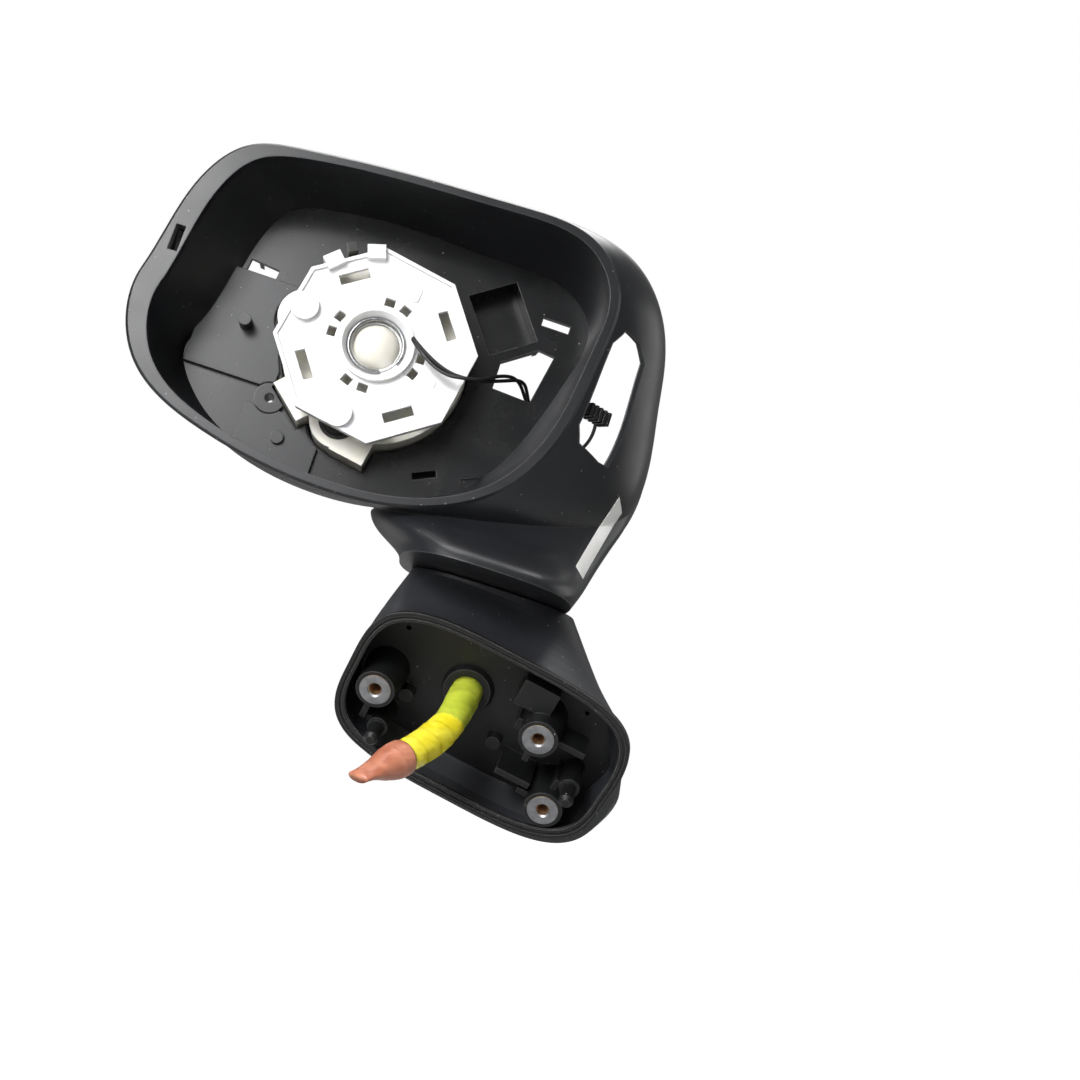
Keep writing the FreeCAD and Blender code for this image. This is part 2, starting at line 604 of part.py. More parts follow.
def carrier_plate():
    """Octagonal glass carrier with its cup, sockets, slots and clip arms."""
    corners = [polar(CARRIER_RADIUS, 22.5 + 45 * i) for i in range(8)]
    plate = prism_y(corners, CARRIER_Y, CARRIER_Y + CARRIER_THICK)
    inner_corners = [polar(CARRIER_RADIUS - 2, 22.5 + 45 * i) for i in range(8)]
    skirt = prism_y(corners, CARRIER_Y - 1.2, CARRIER_Y + 3)
    skirt = skirt.cut(prism_y(inner_corners, CARRIER_Y - 2, CARRIER_Y + 4))
    cup = rod_y(ACT_X, ACT_Z, CARRIER_Y - 3, CARRIER_Y + 7, CUP_RADIUS + 1.6)
    pads = [rod_y(x, z, CARRIER_Y - 2.8, SOCKET_Y + 1.4, 7.0, 6.4) for x, z in jack_places()]
    arms = [turned_box(*polar(CARRIER_RADIUS - 3, a), 7, 9, a + ACT_TURN, CARRIER_Y - 3.4, CARRIER_Y + 5)
            for a in (118, 144)]
    body = plate.fuse([skirt, cup] + pads + arms)
    return body.cut(carrier_cuts()).removeSplitter()


def carrier_cuts():
    ball_space = BALL_RADIUS + 2 * RUNNING_GAP + GIMBAL_THICK
    cuts = [Part.makeSphere(ball_space, Vec(ACT_X, BALL_Y, ACT_Z))]
    cuts.append(rod_y(ACT_X, ACT_Z, CARRIER_Y - 4, CARRIER_Y + 3.5, CUP_RADIUS, BALL_RADIUS + 1.2))
    cuts += [turned_box(*polar(36, 45 + 90 * i), 5, 15, 45 + 90 * i + ACT_TURN, CARRIER_Y - 5, CARRIER_Y + 5)
             for i in range(4)]
    for i in range(4):
        for side in (-11, 11):
            place = polar(22.5, 90 * i + side)
            cuts.append(turned_box(*place, 4.2, 5, 90 * i + side + ACT_TURN, CARRIER_Y - 5, CARRIER_Y + 9))
    socket = JACK_TIP + SOCKET_PLAY
    cuts += [Part.makeSphere(socket, Vec(x, SOCKET_Y, z)) for x, z in jack_places()]
    cuts += [rod_y(x, z, SOCKET_Y, SOCKET_Y + 5, socket) for x, z in jack_places()]
    return cuts


def retaining_spring():
    """Open wire ring that snaps behind the ball into the carrier cup."""
    ring = Part.makeTorus(BALL_RADIUS + 1.3, 1.1, Vec(ACT_X, CARRIER_Y + 0.7, ACT_Z), Vec(0, 1, 0))
    gap_x, gap_z = polar(BALL_RADIUS + 1.3, -35)
    return ring.cut(turned_box(gap_x, gap_z, 12, 9, -35 + ACT_TURN, CARRIER_Y - 5, CARRIER_Y + 5))


def jack(x, z):
    """Threaded plunger with a ball tip that pushes the carrier."""
    tip = Part.makeSphere(JACK_TIP, Vec(x, SOCKET_Y, z))
    stem = rod_y(x, z, SOCKET_Y + 1, WELL_Y + 1, JACK_STEM)
    grooves = []
    for i in range(8):
        y = HOUSING_Y + 3 + 2.4 * i
        ring = rod_y(x, z, y, y + 1.2, JACK_STEM + 1)
        grooves.append(ring.cut(rod_y(x, z, y - 1, y + 2, JACK_STEM - THREAD_DEPTH)))
    return joined([tip, stem]).cut(grooves)


def nut_gear(x, z):
    """Worm wheel whose bore drives the plunger."""
    y0, y1 = DRIVE_Y - 4, DRIVE_Y + 4
    wheel = rod_y(x, z, y0, y1, NUT_RADIUS).fuse(rod_y(x, z, y1, WELL_Y - 0.3, JACK_STEM + 1.6))
    teeth = []
    for i in range(20):
        angle = 2 * math.pi * i / 20
        tx, tz = x + NUT_RADIUS * math.cos(angle), z + NUT_RADIUS * math.sin(angle)
        teeth.append(rod_y(tx, tz, y0 - 1, y1, 0.55))
    return wheel.cut(teeth + [rod_y(x, z, y0 - 1, WELL_Y, JACK_STEM + 0.08)])


def boot(x, z):
    """Rubber bellows between the housing and the plunger."""
    rings = [rod_y(x, z, HOUSING_Y - 1.4, HOUSING_Y - 0.01, BOOT_RADIUS)]
    rings.append(rod_y(x, z, HOUSING_Y - BOOT_HEIGHT, HOUSING_Y - 1.4, BOOT_RADIUS - 2.6, BOOT_RADIUS - 1.2))
    body = joined(rings)
    return body.cut(rod_y(x, z, HOUSING_Y - 6, HOUSING_Y + 1, JACK_STEM + 0.4))


def motor(place):
    """Flat-sided can motor lying in the housing, with its shaft."""
    can = rod((0, 0, 0), (MOTOR_LENGTH, 0, 0), MOTOR_RADIUS)
    can = can.common(box(-1, MOTOR_LENGTH + 1, -MOTOR_FLAT, MOTOR_FLAT, -9, 9))
    nose = rod((MOTOR_LENGTH, 0, 0), (MOTOR_LENGTH + 1.5, 0, 0), 2.4)
    shaft = rod((MOTOR_LENGTH + 1, 0, 0), (WORM_START + 4.5, 0, 0), 1.0)
    return placed_motor(joined([can, nose, shaft]), *place)


def worm(place):
    """Worm pressed on the motor shaft, beside its wheel."""
    body = rod((WORM_START, 0, 0), (WORM_START + 6, 0, 0), WORM_RADIUS - 0.6)
    threads = [rod((WORM_START + 0.3 + 1.5 * i, 0, 0), (WORM_START + 1.1 + 1.5 * i, 0, 0), WORM_RADIUS)
               for i in range(4)]
    bore = rod((WORM_START - 1, 0, 0), (WORM_START + 4.6, 0, 0), 1.01)
    return placed_motor(joined([body] + threads).cut(bore), *place)


def placed_motor(shape, a, b, degrees):
    """Moves a drive piece to its place beside the actuator centre."""
    shape.rotate(Vec(0, 0, 0), Vec(0, -1, 0), degrees + ACT_TURN)
    radius, angle = math.hypot(a, b), math.degrees(math.atan2(b, a))
    x, z = polar(radius, angle)
    shape.translate(Vec(x, DRIVE_Y, z))
    return shape


def connector_block():
    """Socket block of the actuator, open at the back, with notches for the wires."""
    body = turned_box(ACT_X, ACT_Z, CONNECTOR_WIDTH, CONNECTOR_HEIGHT, CONNECTOR_TURN,
                      WELL_Y - 6, CONNECTOR_BACK)
    tub = turned_box(ACT_X, ACT_Z, CONNECTOR_WIDTH - 3, CONNECTOR_HEIGHT - 3, CONNECTOR_TURN,
                     TUB_FLOOR, CONNECTOR_BACK + 1)
    wall = turned_box(ACT_X, ACT_Z, CONNECTOR_WIDTH - 1, 2, CONNECTOR_TURN, WELL_Y - 5, CONNECTOR_BACK)
    notches = [box(ACT_X + 8, ACT_X + 24, CRIMP_Y - 1.3, CONNECTOR_BACK + 1, z - 1.3, z + 1.3)
               for _, z in terminal_places()]
    return joined([body.cut(tub), wall]).cut(notches)


def connector_cover():
    """Clear lid, with two domed windows over the terminals."""
    y0 = CONNECTOR_BACK
    lid = turned_box(ACT_X, ACT_Z, CONNECTOR_WIDTH + 2, CONNECTOR_HEIGHT + 2, CONNECTOR_TURN, y0, y0 + 1.2)
    angle = math.radians(CONNECTOR_TURN)
    blisters = []
    spaces = []
    for side in (-1, 1):
        x = ACT_X - side * 11 * math.sin(angle)
        z = ACT_Z + side * 11 * math.cos(angle)
        blisters.append(turned_box(x, z, 26, 17, CONNECTOR_TURN, y0, y0 + 4))
        spaces.append(turned_box(x, z, 23.6, 14.6, CONNECTOR_TURN, y0 - 1, y0 + 2.8))
    return lid.fuse(blisters).cut(spaces).removeSplitter()


def terminal_places():
    angle = math.radians(CONNECTOR_TURN)
    return [(ACT_X - along * math.sin(angle), ACT_Z + along * math.cos(angle))
            for along in (-15.5, -7.5, 7.5, 15.5)]


def terminals():
    """Blades with a crimp barrel for each wire."""
    pieces = []
    for x, z in terminal_places():
        blade = turned_box(x, z, 18, 3.4, CONNECTOR_TURN, TUB_FLOOR, TUB_FLOOR + 1.2)
        crimp = rod((x + 2, CRIMP_Y, z), (x + 8.5, CRIMP_Y, z), 1.45)
        bore = rod((x + 4, CRIMP_Y, z), (x + 9, CRIMP_Y, z), WIRE_RADIUS + 0.02)
        pieces.append(blade.fuse(crimp).cut(bore))
    return Part.makeCompound(pieces)


# ---- foot pieces --------------------------------------------------------------------------
def foot_point(x, depth, z):
    """A point given in the mounting-face frame, in the row frame."""
    return tuple(FOOT_PLACE.multVec(Vec(x, depth, z)))


def mount_ring(grow, depth):
    """The mounting-face outline, at a depth behind the face, in the row frame."""
    points = superellipse(MOUNT_WIDTH / 2 + grow, MOUNT_HEIGHT / 2 + grow, MOUNT_SQUARENESS)
    return [foot_point(x, depth, z) for x, z in points]


def shoulder_ring(grow):
    """The foot outline at its widest, with the upper hinge-side corner tucked in."""
    half_w, half_h = SHOULDER_WIDTH / 2, SHOULDER_HEIGHT / 2
    ring = []
    for x, z in superellipse(half_w + grow, half_h + grow, 3.4):
        tuck = SHOULDER_TUCK * max(x, 0) / half_w * max(z, 0) / half_h
        ring.append(foot_point(x - tuck, SHOULDER_DEPTH, z + SHOULDER_RISE))
    return ring


def top_ring(grow, z):
    points = superellipse(FOOT_TOP_WIDTH / 2 + grow, FOOT_TOP_DEPTH / 2 + grow, 3.0)
    return [(AXIS_X + x, AXIS_Y - y, z) for x, y in points]


def foot_space(grow, depth, z):
    """The outside of the foot, grown, from a depth behind the face up to a height."""
    sections = mount_ring(grow, depth), shoulder_ring(grow), top_ring(grow, z)
    rings = []
    for step in range(FOOT_STEPS + 1):
        t = step / FOOT_STEPS
        shares = (1 - t) * (1 - 2 * t), 4 * t * (1 - t), t * (2 * t - 1)
        rings.append([tuple(sum(s * p[k] for s, p in zip(shares, column)) for k in range(3))
                      for column in zip(*sections)])
    return loft(rings, True)


def foot_cover():
    outer = foot_space(0, GASKET_HEIGHT, PARTING_Z)
    inner = foot_space(FLOOR_FIT - FOOT_WALL, GASKET_HEIGHT - 0.01, PARTING_Z - FOOT_WALL)
    hole = rod_z(AXIS_X, AXIS_Y, PARTING_Z - 9, PARTING_Z + 1, DETENT_RADIUS + 1.5)
    return outer.cut([inner, hole])


def local(shape):
    """Moves a piece made in the mounting-face frame into the row frame."""
    shape.Placement = FOOT_PLACE.multiply(shape.Placement)
    return shape


def foot_floor_space():
    slab = local(box(-90, 90, FLOOR_DROP, FLOOR_DROP + FLOOR_THICK, -70, 70))
    return slab.common(foot_space(-FOOT_WALL, GASKET_HEIGHT - 0.01, PARTING_Z - FOOT_WALL))


def foot_base():
    """Moulded floor with the insert bosses, ribs and locating pins."""
    pieces = []
    for x, z in INSERT_PLACES:
        pieces.append(local(rod_y(x, z, 0.4, FLOOR_DROP + 1, BOSS_RADIUS - 0.6, BOSS_RADIUS + 1)))
    for x, z in PIN_PLACES:
        pieces.append(local(rod_y(x, z, 4, FLOOR_DROP + 1, PIN_RADIUS + 1.5)))
        pieces.append(local(rod_y(x, z, -PIN_STANDOUT + 2, 5, PIN_RADIUS)))
        pieces.append(local(rod_y(x, z, -PIN_STANDOUT, -PIN_STANDOUT + 2, PIN_RADIUS - 1.4, PIN_RADIUS)))
    pieces += [local(rod_y(x, z, FLOOR_DROP - 7, FLOOR_DROP + 1, 3.6)) for x, z in STAND_SCREWS]
    pieces += [local(block) for block in foot_ribs()]
    cuts = [local(rod_y(x, z, -1, INSERT_LENGTH + 1, INSERT_BODY_RADIUS)) for x, z in INSERT_PLACES]
    cuts += [local(rod_y(x, z, -1, 2.4, INSERT_FACE_RADIUS)) for x, z in INSERT_PLACES]
    x, z = HARNESS_PLACE
    cuts.append(local(rod_y(x, z, FLOOR_DROP - 1, FLOOR_DROP + 9, HARNESS_RADIUS + 3)))
    cuts += [local(rod_y(x, z, FLOOR_DROP - 1, FLOOR_DROP + 9, 1.2)) for x, z in ((-52, 16), (43, 20))]
    cuts += [local(rod_y(x, z, FLOOR_DROP - 6, FLOOR_DROP + 9, SCREW_RADIUS)) for x, z in STAND_SCREWS]
    room = foot_space(-FOOT_WALL - FLOOR_FIT, GASKET_HEIGHT - 0.01, PARTING_Z - FOOT_WALL)
    room = room.fuse(local(box(-90, 90, -PIN_STANDOUT - 1, GASKET_HEIGHT, -70, 70)))
    standing = pieces[0].fuse(pieces[1:]).common(room)
    return joined([foot_floor_space(), standing]).cut(cuts)


def foot_ribs():
    drop = FLOOR_DROP + 1
    ribs = [box(-53.5, -50.5, 6, drop, -28, -8), box(-50, -43, 8, drop, -29.5, -26.5)]
    ribs.append(box(8, 26, 8, drop, 16, 30))
    ribs.append(box(14, 26, 10, drop, 3, 9))
    ribs.append(box(24.5, 27.5, 6, drop, -8, 9))
    ribs.append(box(16, 34, 4, drop, -20, -17))
    ribs.append(box(30, 45, 6, drop, -25.5, -22.5))
    ribs.append(box(43.5, 46.5, 6, drop, -24, -9))
    ribs.append(box(34, 50, 8, drop, 6, 9))
    return ribs


def foot_gasket():
    """Soft seal on the rim of the foot, with a lip round the outside."""
    def band(grow, width, y0, y1):
        outer = loft([mount_ring(grow, y0), mount_ring(grow, y1)], True)
        return outer.cut(loft([mount_ring(grow - width, y0 - 1), mount_ring(grow - width, y1 + 1)], True))
    flat = band(0.8, GASKET_WIDTH, 0.8, GASKET_HEIGHT)
    bead = band(0.8, 1.8, 0, 1.0)
    second = band(-2.2, 1.2, 0, 1.0)
    return joined([flat, bead, second])


def inserts():
    """Steel threaded inserts for the door bolts."""
    pieces = []
    for x, z in INSERT_PLACES:
        face = rod_y(x, z, 0.0, 2.4, INSERT_FACE_RADIUS)
        body = rod_y(x, z, 2.3, INSERT_LENGTH, INSERT_BODY_RADIUS)
        bore = rod_y(x, z, -1, INSERT_LENGTH + 1, THREAD_RADIUS)
        mouth = rod_y(x, z, -0.01, 0.8, THREAD_RADIUS + 0.8, THREAD_RADIUS)
        pieces.append(local(face.fuse(body).cut([bore, mouth])))
    return Part.makeCompound(pieces)


def pivot_stand():
    """Casting on the foot floor that carries the pivot tube."""
    x, z = HARNESS_PLACE
    seat = FLOOR_DROP + FLOOR_THICK
    rings = [[(x - 1 + a, depth, z + 4 + b) for a, b in superellipse(30, 27, 4)]
             for depth in (seat, seat + 3)]
    flange = local(loft(rings, True))
    low = [foot_point(x - 3 + a, seat + 1, z + 4 + b) for a, b in superellipse(22, 20, 2.4)]
    high = [(AXIS_X + a, AXIS_Y - b, STAND_TOP - 6) for a, b in superellipse(18.5, 18.5, 2.0)]
    top = rod_z(AXIS_X, AXIS_Y, STAND_TOP - 7, STAND_TOP, DETENT_RADIUS)
    bore = rod_z(AXIS_X, AXIS_Y, STAND_TOP - 12, STAND_TOP + 1, TUBE_RADIUS + 0.03)
    bolts = [local(rod_y(a, b, seat - 1, seat + 9, SCREW_RADIUS + 0.2)) for a, b in STAND_SCREWS]
    heads = [local(rod_y(a, b, seat + 3, seat + 30, SCREW_HEAD + 0.6)) for a, b in STAND_SCREWS]
    body = joined([flange, loft([low, high], True), top])
    return body.cut([bore] + bolts + heads + harness_space())


def stand_screws():
    seat = FLOOR_DROP + FLOOR_THICK + 3
    return Part.makeCompound([local(screw(x, z, seat, 12)) for x, z in STAND_SCREWS])


def harness_space():
    """The way for the wires through the stand, as cutting pieces."""
    x, z = HARNESS_PLACE
    low = FOOT_PLACE.multVec(Vec(x, FLOOR_DROP + FLOOR_THICK - 2, z))
    bend = FOOT_PLACE.multVec(Vec(x, FLOOR_DROP + 14, z))
    lower = rod(tuple(low), tuple(bend), HARNESS_RADIUS + 1)
    upper = rod((bend.x, bend.y, bend.z - 2), (AXIS_X, AXIS_Y, STAND_TOP - 8), HARNESS_RADIUS + 1)
    return [lower, Part.makeSphere(HARNESS_RADIUS + 1, bend), upper]


def pivot_tube():
    tube_body = rod_z(AXIS_X, AXIS_Y, STAND_TOP - 12, TUBE_TOP, TUBE_RADIUS)
    groove = rod_z(AXIS_X, AXIS_Y, TUBE_TOP - 4, TUBE_TOP - 2.4, TUBE_RADIUS + 1)
    groove = groove.cut(rod_z(AXIS_X, AXIS_Y, TUBE_TOP - 5, TUBE_TOP, TUBE_RADIUS - 1))
    bore = rod_z(AXIS_X, AXIS_Y, STAND_TOP - 13, TUBE_TOP + 1, TUBE_BORE)
    return tube_body.cut([groove, bore])


def detent(z0, z1, up):
    """A ring with three rounded ramps that hold the head folded or out."""
    ring = rod_z(AXIS_X, AXIS_Y, z0, z1, DETENT_RADIUS)
    marks = []
    for i in range(3):
        angle = math.radians(120 * i + 15)
        far = (AXIS_X + 30 * math.cos(angle), AXIS_Y + 30 * math.sin(angle), up)
        marks.append(rod((AXIS_X, AXIS_Y, up), far, 1.4))
    bore = rod_z(AXIS_X, AXIS_Y, z0 - 3, z1 + 3, TUBE_RADIUS + (0.03 if up == z1 else 0.3))
    if up == z1:
        return ring.cut(marks + [bore])
    return ring.cut([bore])


def coil_spring():
    climb = SPRING_HEIGHT - SPRING_WIRE
    helix = Part.makeHelix(climb / SPRING_TURNS, climb, SPRING_RADIUS)
    section = Part.Wire([Part.makeCircle(SPRING_WIRE / 2, Vec(SPRING_RADIUS, 0, 0), Vec(0, 1, 0))])
    coil = Part.Wire(helix).makePipeShell([section], True, True)
    coil.translate(Vec(AXIS_X, AXIS_Y, SPRING_Z + SPRING_WIRE / 2))
    return coil


def spring_washer():
    z0 = SPRING_Z + SPRING_HEIGHT + 0.1
    washer = rod_z(AXIS_X, AXIS_Y, z0, TUBE_TOP - 4, 17)
    return washer.cut(rod_z(AXIS_X, AXIS_Y, z0 - 1, TUBE_TOP, TUBE_RADIUS))


def retaining_ring():
    ring = rod_z(AXIS_X, AXIS_Y, TUBE_TOP - 4, TUBE_TOP - 2.4, TUBE_RADIUS + 3)
    ring = ring.cut(rod_z(AXIS_X, AXIS_Y, TUBE_TOP - 5, TUBE_TOP, TUBE_RADIUS - 0.95))
    return ring.cut(box(AXIS_X, AXIS_X + 30, AXIS_Y - 3, AXIS_Y + 3, TUBE_TOP - 5, TUBE_TOP))


def cable_grommet():
    x, z = HARNESS_PLACE
    lip = rod_y(x, z, FLOOR_DROP - 3.5, FLOOR_DROP - 0.01, HARNESS_RADIUS + 3.5, HARNESS_RADIUS + 5)
    neck = rod_y(x, z, FLOOR_DROP - 0.02, FLOOR_DROP + FLOOR_THICK, HARNESS_RADIUS + 3)
    bore = rod_y(x, z, FLOOR_DROP - 9, FLOOR_DROP + 9, HARNESS_RADIUS + 0.06)
    return local(lip.fuse(neck).cut(bore))


# ---- cords --------------------------------------------------------------------------------
def harness_route():
    """Straight out through the grommet, then bending down past the rim of the foot."""
    x, z = HARNESS_PLACE
    return (foot_point(x, FLOOR_DROP + FLOOR_THICK, z), foot_point(x, FLOOR_DROP - 16, z)) + HARNESS_TAIL


def harness_end():
    """Tape wound over the last stretch of the harness and folded over its tip."""
    before, bend, tip = (Vec(*p) for p in HARNESS_TAIL)
    along = (tip - bend).normalize()
    beyond = tip + along * 2
    wrap = tube((before, bend, beyond), HARNESS_RADIUS + TAPE_THICK, "harness_end")
    keep = rod(tuple(bend + along * 2), tuple(beyond + along), 2 * HARNESS_RADIUS)
    core = tube((before, bend, tip), HARNESS_RADIUS + 0.06, "tape_bore")
    return wrap.common(keep).cut(core)


def riser(dx, dy):
    """The way of one wire from the harness through the stand and up the pivot tube."""
    start = foot_point(HARNESS_PLACE[0] + dx, FLOOR_DROP + FLOOR_THICK + 0.8, HARNESS_PLACE[1] - dy)
    x, y = AXIS_X + dx, AXIS_Y + dy
    wander = ((31, 0), (50, 0.5), (70, 0), (90, 0.5), (110, 0))
    return [start] + [(x + shift, y, z) for z, shift in wander]


def actuator_wire(dx, dy, index):
    """One wire from the foot to its terminal at the back of the actuator."""
    x, z = terminal_places()[index]
    end_x = x + 4.2
    rise = z - 140
    last = [(AXIS_X - 6 + dx, AXIS_Y + 8 + dy, 127), (-34 + dx, 46 + dy, 142 + 0.1 * rise),
            (-53, 46.5 + dy, 142 + 0.4 * rise), (-69, 43.5 + dy, 140.5 + 0.75 * rise),
            (-82, CRIMP_Y, z), (end_x, CRIMP_Y, z)]
    return riser(dx, dy) + last


def lamp_wire():
    x, y, z = LAMP_PLUG
    last = [(-8, 40, 127), (4, 40, 146), (13, 22, 157), (x + 2, y + 6.5, z)]
    return riser(4.2, 0) + last


def lamp_plug():
    """Ribbed strain relief of the turn-lamp lead, waiting in the window."""
    x, y, z = LAMP_PLUG
    body = box(-7.5, 7.5, -3, 3, -2.6, 2.6)
    ribs = [box(-6 + 3 * i, -4.4 + 3 * i, -3.8, 3.8, -3.4, 3.4) for i in range(5)]
    plug = joined([body] + ribs)
    plug.rotate(Vec(0, 0, 0), Vec(0, 0, 1), 35)
    plug.translate(Vec(x, y, z))
    return plug.cut(rod((x + 2, y + 1, z), (x + 3, y + 12, z), WIRE_RADIUS + 0.3))


def heater_lead(side):
    """One of the two twisted leads for the heated glass."""
    path = []
    last = len(HEATER_PATH) - 1
    for i, point in enumerate(HEATER_PATH):
        along = Vec(*HEATER_PATH[min(i + 1, last)]) - Vec(*HEATER_PATH[max(i - 1, 0)])
        across = along.cross(Vec(0, 0, 1)).normalize()
        upward = across.cross(along).normalize()
        turn = math.pi / 2 * i
        offset = (across * math.cos(turn) + upward * math.sin(turn)) * side * TWIST_RADIUS
        path.append(tuple(Vec(*point) + offset))
    return path


def blank_label():
    """Plain sticker on the hinge-end bulge."""
    grown = head_block(-0.35).fuse(neck_block(-0.35))
    skin = grown.cut(head_block(-0.05).fuse(neck_block(-0.05)))
    patch = prism_y(((31.8, 129), (36.6, 124), (24.8, 81.5), (19.7, 86)), 5, 36)
    return skin.common(patch)


CORDS = {
    "harness_cord": (harness_route(), HARNESS_RADIUS),
    "wire_red": (actuator_wire(-1.6, -1.6, 0), WIRE_RADIUS),
    "wire_pink": (actuator_wire(1.6, -1.6, 1), WIRE_RADIUS),
    "wire_purple": (actuator_wire(-1.6, 1.6, 2), WIRE_RADIUS),
    "wire_blue": (actuator_wire(1.6, 1.6, 3), WIRE_RADIUS),
    "lamp_lead": (lamp_wire(), WIRE_RADIUS),
    "heater_lead_one": (heater_lead(1), WIRE_RADIUS),
    "heater_lead_two": (heater_lead(-1), WIRE_RADIUS),
}

NODES = {
    "visor_shell": visor_shell,
    "frame_plate": frame_plate,
    "pivot_arm": pivot_arm,
    "frame_screws": frame_screws,
    "actuator_screws": actuator_screws,
    "arm_screws": arm_screws,
    "actuator_housing": actuator_housing,
    "pivot_ball": pivot_ball,
    "gimbal_ring": gimbal_ring,
    "carrier_plate": carrier_plate,
    "retaining_spring": retaining_spring,
    "connector_block": connector_block,
    "connector_cover": connector_cover,
    "terminals": terminals,
    "foot_cover": foot_cover,
    "foot_base": foot_base,
    "foot_gasket": foot_gasket,
    "threaded_inserts": inserts,
    "pivot_stand": pivot_stand,
    "pivot_tube": pivot_tube,
    "fold_spring": coil_spring,
    "spring_washer": spring_washer,
    "retaining_ring": retaining_ring,
    "cable_grommet": cable_grommet,
    "stand_screws": stand_screws,
    "harness_end": harness_end,
    "lamp_plug": lamp_plug,
    "blank_label": blank_label,
}


def main():
    os.makedirs("parts", exist_ok=True)
    for name, build in NODES.items():
        save(name, build())
    for name, (x, z), place in zip(("up_down", "left_right"), jack_places(), MOTOR_PLACES):
        save("jack_" + name, jack(x, z))
        save("nut_gear_" + name, nut_gear(x, z))
        save("boot_" + name, boot(x, z))
        save("motor_" + name, motor(place))
        save("worm_" + name, worm(place))
    save("detent_lower", detent(STAND_TOP, PARTING_Z, PARTING_Z))
    save("detent_upper", detent(PARTING_Z + 0.3, HUB_Z, 0))
    for name, (route, radius) in CORDS.items():
        save(name, tube(route, radius, name))


main()
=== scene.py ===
import math
import random

import bmesh
import bpy
from mathutils import Matrix, Vector
from mathutils.bvhtree import BVHTree


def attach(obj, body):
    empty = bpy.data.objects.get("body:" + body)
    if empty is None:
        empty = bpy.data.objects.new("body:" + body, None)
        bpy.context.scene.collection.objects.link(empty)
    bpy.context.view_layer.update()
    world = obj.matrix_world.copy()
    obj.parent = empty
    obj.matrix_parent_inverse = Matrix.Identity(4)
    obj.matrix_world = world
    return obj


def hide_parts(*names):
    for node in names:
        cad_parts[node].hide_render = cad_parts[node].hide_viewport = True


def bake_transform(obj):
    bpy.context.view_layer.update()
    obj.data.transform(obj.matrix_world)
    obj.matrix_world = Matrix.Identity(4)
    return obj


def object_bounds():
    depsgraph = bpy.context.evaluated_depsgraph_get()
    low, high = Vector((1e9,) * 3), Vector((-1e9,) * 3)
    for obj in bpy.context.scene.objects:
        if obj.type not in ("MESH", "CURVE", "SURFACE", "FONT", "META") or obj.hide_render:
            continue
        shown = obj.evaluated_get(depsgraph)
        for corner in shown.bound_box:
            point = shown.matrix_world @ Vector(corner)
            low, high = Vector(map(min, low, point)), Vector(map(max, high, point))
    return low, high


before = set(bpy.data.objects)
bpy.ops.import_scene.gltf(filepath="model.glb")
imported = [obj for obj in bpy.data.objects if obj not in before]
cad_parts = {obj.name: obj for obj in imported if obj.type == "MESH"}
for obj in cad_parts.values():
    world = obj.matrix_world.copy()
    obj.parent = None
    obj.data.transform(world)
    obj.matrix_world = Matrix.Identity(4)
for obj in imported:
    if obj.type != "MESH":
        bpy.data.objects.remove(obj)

cad_low, cad_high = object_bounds()
MM = 0.001


# ---- camera ---------------------------------------------------------------------------------
EYE = (-0.0448, -0.6121, -0.0253)
LOOKS_ALONG = (0.0721, 0.979, 0.1911)
UPRIGHT = (-0.3114, -0.160, 0.9368)
LENS_MM = 43.33
SENSOR_MM = 36


def set_camera():
    camera = bpy.data.objects.new("camera", bpy.data.cameras.new("camera"))
    bpy.context.collection.objects.link(camera)
    forward = Vector(LOOKS_ALONG).normalized()
    up = Vector(UPRIGHT)
    right = forward.cross(up).normalized()
    up = right.cross(forward)
    camera.matrix_world = Matrix.Translation(EYE) @ Matrix((
        (right.x, up.x, -forward.x, 0), (right.y, up.y, -forward.y, 0),
        (right.z, up.z, -forward.z, 0), (0, 0, 0, 1)))
    camera.data.lens = LENS_MM
    camera.data.sensor_width = SENSOR_MM
    bpy.context.scene.camera = camera
    return right, up, -forward


# ---- material nodes -------------------------------------------------------------------------
def linear(code):
    """An sRGB hex colour as linear red, green, blue and alpha."""
    parts = [int(code[i:i + 2], 16) / 255 for i in (1, 3, 5)]
    return [c / 12.92 if c <= 0.04045 else ((c + 0.055) / 1.055) ** 2.4 for c in parts] + [1.0]


def add(tree, kind, inputs, **settings):
    """One node with its settings; an input takes a value or another node's output."""
    made = tree.nodes.new("ShaderNode" + kind)
    for name, value in settings.items():
        setattr(made, name, value)
    for name, value in inputs.items():
        if isinstance(value, bpy.types.NodeSocket):
            tree.links.new(value, made.inputs[name])
        else:
            made.inputs[name].default_value = value
    return made


def ramp(tree, factor, low, high, at_low, at_high):
    """A grey value that runs from at_low to at_high while factor runs from low to high."""
    return add(tree, "MapRange", {"Value": factor, "From Min": low, "From Max": high,
                                  "To Min": at_low, "To Max": at_high}).outputs[0]


def blend_colour(tree, factor, first, second):
    """The first colour where factor is 0 and the second where it is 1."""
    mix = add(tree, "Mix", {0: factor, 6: first, 7: second}, data_type="RGBA")
    return mix.outputs[2]


def place(tree):
    return add(tree, "TexCoord", {}).outputs["Object"]


def noise(tree, where, size, detail=3.0):
    """Noise whose lumps are size mm across."""
    return add(tree, "TexNoise", {"Vector": where, "Scale": 1 / (size * MM), "Detail": detail,
                                  "Roughness": 0.55}).outputs["Fac"]


def specks(tree, where, spacing, size):
    """1 inside scattered specks size mm across, about spacing mm apart, 0 elsewhere."""
    cells = add(tree, "TexVoronoi", {"Vector": where, "Scale": 1 / (spacing * MM), "Randomness": 1.0})
    reach = size / spacing / 2
    return ramp(tree, cells.outputs["Distance"], reach * 0.6, reach, 1.0, 0.0)


